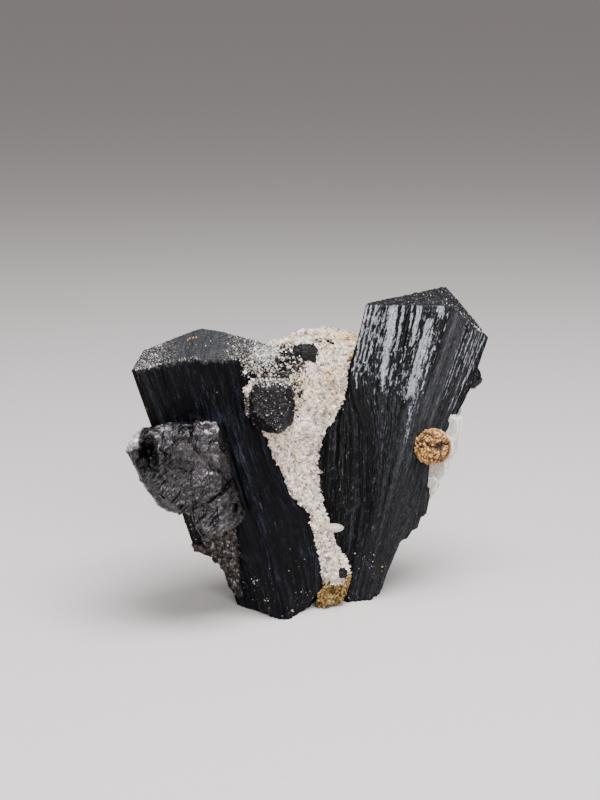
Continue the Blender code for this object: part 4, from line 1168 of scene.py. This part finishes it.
def addBlades(name, blades, look, seed):
    # each blade is a stack of leaves, each of its own size and lean, stepped sideways from front to back; a
    # leaf is brighter at its rim, a painted highlight
    draw = random.Random(seed)
    ring = np.arange(1, 2 * calcite["rings"])
    ring = np.repeat(np.minimum(ring, 2 * calcite["rings"] - ring) / calcite["rings"], calcite["columns"])
    # painted highlight: each leaf's tone rises towards its rim
    rim = np.concatenate([0.45 * smoothStep(ring, 0.75, 1.0), [0, 0]])
    points, quads, triangles, tones = [], [], [], []
    first = 0
    for blade in blades:
        width, depth, height = blade["size"]
        x, y, z = blade["middle"]
        for leaf in range(calcite["leaves"]):
            share = leaf / (calcite["leaves"] - 1) - 0.5
            shrink = draw.uniform(0.8, 1.0)
            middle = (x + share * calcite["shift"], y + share * depth * 0.8, z + draw.uniform(-0.6, 0.6))
            lean = blade["lean"] + draw.uniform(-5, 5)
            grid = bladeGrid(middle, width * shrink * 0.85, height * shrink, lean, first)
            leafPoints, leafQuads, leafEnds = closedGrid(grid)
            points.append(leafPoints)
            quads.append(leafQuads + first)
            triangles.append(leafEnds + first)
            tones.append(draw.uniform(0.08, 0.5) + rim)
            first += len(leafPoints)
    points, quads, triangles, tones = (np.concatenate(parts) for parts in (points, quads, triangles, tones))
    addMesh(name, points, quads, triangles, granular[look], "calcite_blades", {"tone": tones}, None, False)


addBlades("calciteBlades", calcite["blades"][1:], "calcite", 152)
addBlades("calciteTip", calcite["blades"][:1], "clearCalcite", 154)
print("calcite made")


def split(grid):
    # the grid's x, y and z, as three arrays
    return np.moveaxis(grid, -1, 0)


def clusters(across, up, spots):
    # soft oval spots: middle, half width and half height, each wanted in proportion to its last number
    return sum(
        number * np.exp(-(((across - atX) / halfWidth) ** 2) - ((up - atY) / halfHeight) ** 2)
        for atX, atY, halfWidth, halfHeight, number in spots
    )


leftSides, leftTop = leftGrid[: leftCrystal["rows"]], leftGrid[leftCrystal["rows"] - 1 :]
rightSides, rightTop = rightGrid[: rightCrystal["rows"]], rightGrid[rightCrystal["rows"] - 1 :]
faceRings, bevelRings, _ = smallCrystal["rings"]
smallFace, smallRim = smallGrid[: faceRings + 2], smallGrid[faceRings : faceRings + bevelRings + 6]

# where grains are wanted: on the left crystal's end, along its front edge, and in one spot
x, y, _ = split(leftTop)
shoulder = smoothStep(x, -8, -3.5) * smoothStep(-y, -18, -12)
leftEnds = 0.02 + np.maximum(smoothStep(-x, 24, 29), 0.8 * smoothStep(x, -14, -8))
frontEdge = smoothStep(-x, 16, 19) * (y < 6) * (np.arange(len(x))[:, None] < 4)
frontEdge = frontEdge + clusters(x, y, ((-17.0, 6.0, 3.0, 1.2, 0.25),))
topSpots = clusters(x, y, ((-20.3, 10.0, 0.9, 0.5, 1),))
# on its sides: low on the front, down the broken lower left and on the upper left edge, under the shoulder,
# and in spots
x, y, z = split(leftSides)
lowFront = smoothStep(-z, -20, -2) * (y < 12) * smoothStep(smoothNoise(leftSides, 4.0, 252), -0.1, 0.4)
leftStrip = smoothStep(z, 13, 15) * smoothStep(-z, -30, -27) * smoothStep(-x, 15, 17) * (y < 12)
leftStrip = leftStrip + 0.25 * smoothStep(z, 46, 48) * smoothStep(-z, -58, -54) * smoothStep(-x, 29.5, 30.5)
underShoulder = smoothStep(x, -9.5, -8) * smoothStep(z, 54, 56) * (y < 14)
leftSpots = clusters(x, z, (
    (-6.3, 7.9, 0.9, 0.9, 5), (-3.4, 4.0, 0.7, 0.7, 5), (1.8, 1.2, 0.8, 0.8, 5),
    (1.2, 10.4, 0.2, 0.2, 12), (-14, 52, 0.2, 0.2, 6),
)) * (y < 12)
leftEdgeSpots = clusters(
    x, z, ((-29.9, 46.8, 0.7, 0.7, 5), (-31.5, 50.5, 0.4, 0.4, 2), (-21.0, 18.5, 0.6, 0.6, 3))
)
# on the right crystal: along its end's right edge, low on the front, and in spots
x, y, _ = split(rightTop)
rightEdge = smoothStep(x, 35, 39) * (y < 42) * (np.arange(len(x))[:, None] < 3)
x, y, z = split(rightSides)
rightFoot = smoothStep(-z, -14, -2) * (y < 22) * smoothStep(smoothNoise(rightSides, 4.0, 262), 0.0, 0.5)
rightSpots = clusters(x, z, (
    (19.5, 7.0, 0.6, 0.6, 4), (20.0, 5.8, 0.5, 0.5, 3), (22.7, 6.9, 0.6, 0.6, 4),
    (14.4, 39.7, 0.2, 0.2, 16), (10.6, 37.9, 0.3, 0.3, 12),
)) * (y < 22)
# round the small crystal, and in dark patches on the druse
x, _, z = split(smallRim)
outerRim = np.maximum(smoothStep(-x, 6.9, 7.6), smoothStep(z, 53.0, 53.8)) + 0.02
upperRim = smoothStep(z, 52.6, 53.6)
x, y, z = split(drusePoints)
darkPatches = clusters(x, z, (
    (-2.5, 54.5, 5.0, 2.6, 0.7), (1.0, 55.8, 3.2, 1.6, 2.0),
    (9.6, 58.9, 2.2, 0.5, 2.4), (3.0, 49.0, 0.8, 4.0, 0.8),
)) * (y < 22)
scattered = (
    # name, grid, how much is wanted where (None is evenly), count, grain size in mm, lean, look, node
    ("druseOnShoulder", leftTop, shoulder, 700, 0.24, 1.2, "spark", "quartz_druse"),
    ("drusePatches", drusePoints, darkPatches, 3000, 0.31, 1.2, "drusy", "druse_top_crystal"),
    ("druseUnderShoulder", leftSides, underShoulder, 900, 0.27, 1.2, "spark", "quartz_druse"),
    ("leftTopSparks", leftTop, leftEnds, 1700, 0.13, 1.2, "spark", "left_ilvaite_crystal"),
    ("leftEdgeGrains", leftTop, frontEdge, 160, 0.12, 1.2, "spark", "left_ilvaite_crystal"),
    ("rightTopSparks", rightTop, None, 260, 0.12, 1.2, "spark", "right_ilvaite_crystal"),
    ("smallCrystalTop", smallRim, upperRim, 300, 0.22, 1.2, "spark", "quartz_druse"),
    ("smallCrystalRim", smallRim, outerRim, 420, 0.18, 1.2, "spark", "small_ilvaite_crystal"),
    ("smallCrystalSparks", smallFace, None, 260, 0.09, 1.2, "spark", "small_ilvaite_crystal"),
    ("leftFootGrains", leftSides, lowFront, 130, 0.1, 0.5, "spark", "left_ilvaite_crystal"),
    ("leftStripFlecks", leftSides, leftStrip, 150, 0.13, 0.8, "spark", "left_ilvaite_crystal"),
    ("rightFootGrains", rightSides, rightFoot, 90, 0.11, 0.5, "spark", "right_ilvaite_crystal"),
    ("leftPaleSpots", leftSides, leftSpots, 36, 0.17, 0.5, "spark", "left_ilvaite_crystal"),
    ("leftYellowSpots", leftSides, leftEdgeSpots, 26, 0.26, 0.5, "siderite", "left_ilvaite_crystal"),
    ("topYellowSpots", leftTop, topSpots, 7, 0.26, 0.5, "siderite", "left_ilvaite_crystal"),
    ("rightYellowSpots", rightSides, rightSpots, 20, 0.22, 0.5, "siderite", "right_ilvaite_crystal"),
    ("leftStripGrains", leftSides, leftStrip, 150, 0.15, 0.5, "siderite", "left_ilvaite_crystal"),
    ("rightEdgeGrains", rightTop, rightEdge, 110, 0.15, 1.2, "spark", "right_ilvaite_crystal"),
)
for index, (name, grid, wanted, count, size, lean, look, node) in enumerate(scattered):
    seed = 201 + 10 * index
    places, normals = scatterOn(grid, count, seed, wanted)
    sizes = size * np.random.default_rng(seed + 1).lognormal(0, 0.45, count)
    keep = places[:, 2] > 0.5
    addGrains(name, places[keep], normals[keep], sizes[keep], seed + 2, look, node, lean)
print("grains on the crystals made")

studio = {
    "worldColour": "#cfcaca", "worldStrength": 0.42,
    "lights": (
        # name, place in metres, size, power in watts
        ("overheadSoftbox", (0.10, -0.16, 0.62), 0.4, 8.0),
        ("frontSoftbox", (0.15, -0.70, 0.33), 0.3, 4.0),
        ("leftFill", (-0.6, -0.35, 0.28), 0.3, 1.6),
    ),
    "aim": (0.0, 0.0, 0.034),
}
camera = {"place": (3.6, -372.0, 127.6), "pitch": 11.8, "focalLength": 80.2, "sensor": 36.0}
# the floor is round: flat, then a quarter of an ellipse up, so that it has no edge in any view
floor = {
    "roughness": 0.85, "ior": 1.45, "specular": 0.2, "fibre": 1.5,
    "shades": [(0.3, "#dad5d4"), (0.7, "#dfdad9")],
    "flat": 700.0, "run": 2300.0, "rise": 600.0, "flatRings": 8, "curveRings": 24, "columns": 96,
}
floorMaterial, floorTree, floorShader = startMaterial("matt paper floor", floor)
floorPlace = addNode(floorTree, "TexCoord", {})
fibre = addNode(floorTree, "TexNoise", {"Vector": (floorPlace, "Object"), "Scale": perSize(floor["fibre"])})
paper = addNode(floorTree, "ValToRGB", {"Fac": (fibre, 0), "ramp": floor["shades"]})
setSockets(floorShader, {"Base Color": (paper, "Color")})
curve = np.linspace(0, math.pi / 2, floor["curveRings"] + 1)[1:]
flatReach = np.linspace(0, floor["flat"], floor["flatRings"] + 1)[1:]
reach = np.concatenate([flatReach, floor["flat"] + floor["run"] * np.sin(curve)])[:, None]
rise = np.concatenate([0 * flatReach, floor["rise"] * (1 - np.cos(curve))])[:, None]
ring = np.arange(floor["columns"])
turn = ring * math.tau / floor["columns"]
sheet = stacked(reach * np.cos(turn), reach * np.sin(turn), rise)
points = np.concatenate([sheet.reshape(-1, 3), [[0.0, 0.0, 0.0]]])
middle = stacked(ring, (ring + 1) % len(ring), len(points) - 1)
quads = gridFaces(len(sheet), len(ring))[:, ::-1]
addMesh("floorSheet", points, quads, middle, floorMaterial)

world = bpy.data.worlds.new("studio")
bpy.context.scene.world = world
world.use_nodes = True
background = world.node_tree.nodes["Background"]
setSockets(background, {"Color": studio["worldColour"], "Strength": studio["worldStrength"]})
for name, place, size, power in studio["lights"]:
    lamp = bpy.data.lights.new(name, "AREA")
    lamp.shape = "SQUARE"
    lamp.size = size
    lamp.energy = power
    light = bpy.data.objects.new(name, lamp)
    light.location = place
    way = np.array(studio["aim"]) - np.array(place)
    light.rotation_euler = (math.atan2(math.hypot(way[0], way[1]), -way[2]), 0, math.atan2(-way[0], way[1]))
    bpy.context.scene.collection.objects.link(light)

lens = bpy.data.cameras.new("camera")
lens.lens = camera["focalLength"]
lens.sensor_width = camera["sensor"]
viewer = bpy.data.objects.new("camera", lens)
viewer.location = toFrame(camera["place"])
viewer.rotation_euler = (math.radians(90 - camera["pitch"]), 0, 0)
bpy.context.scene.collection.objects.link(viewer)
bpy.context.scene.camera = viewer
print("studio made")
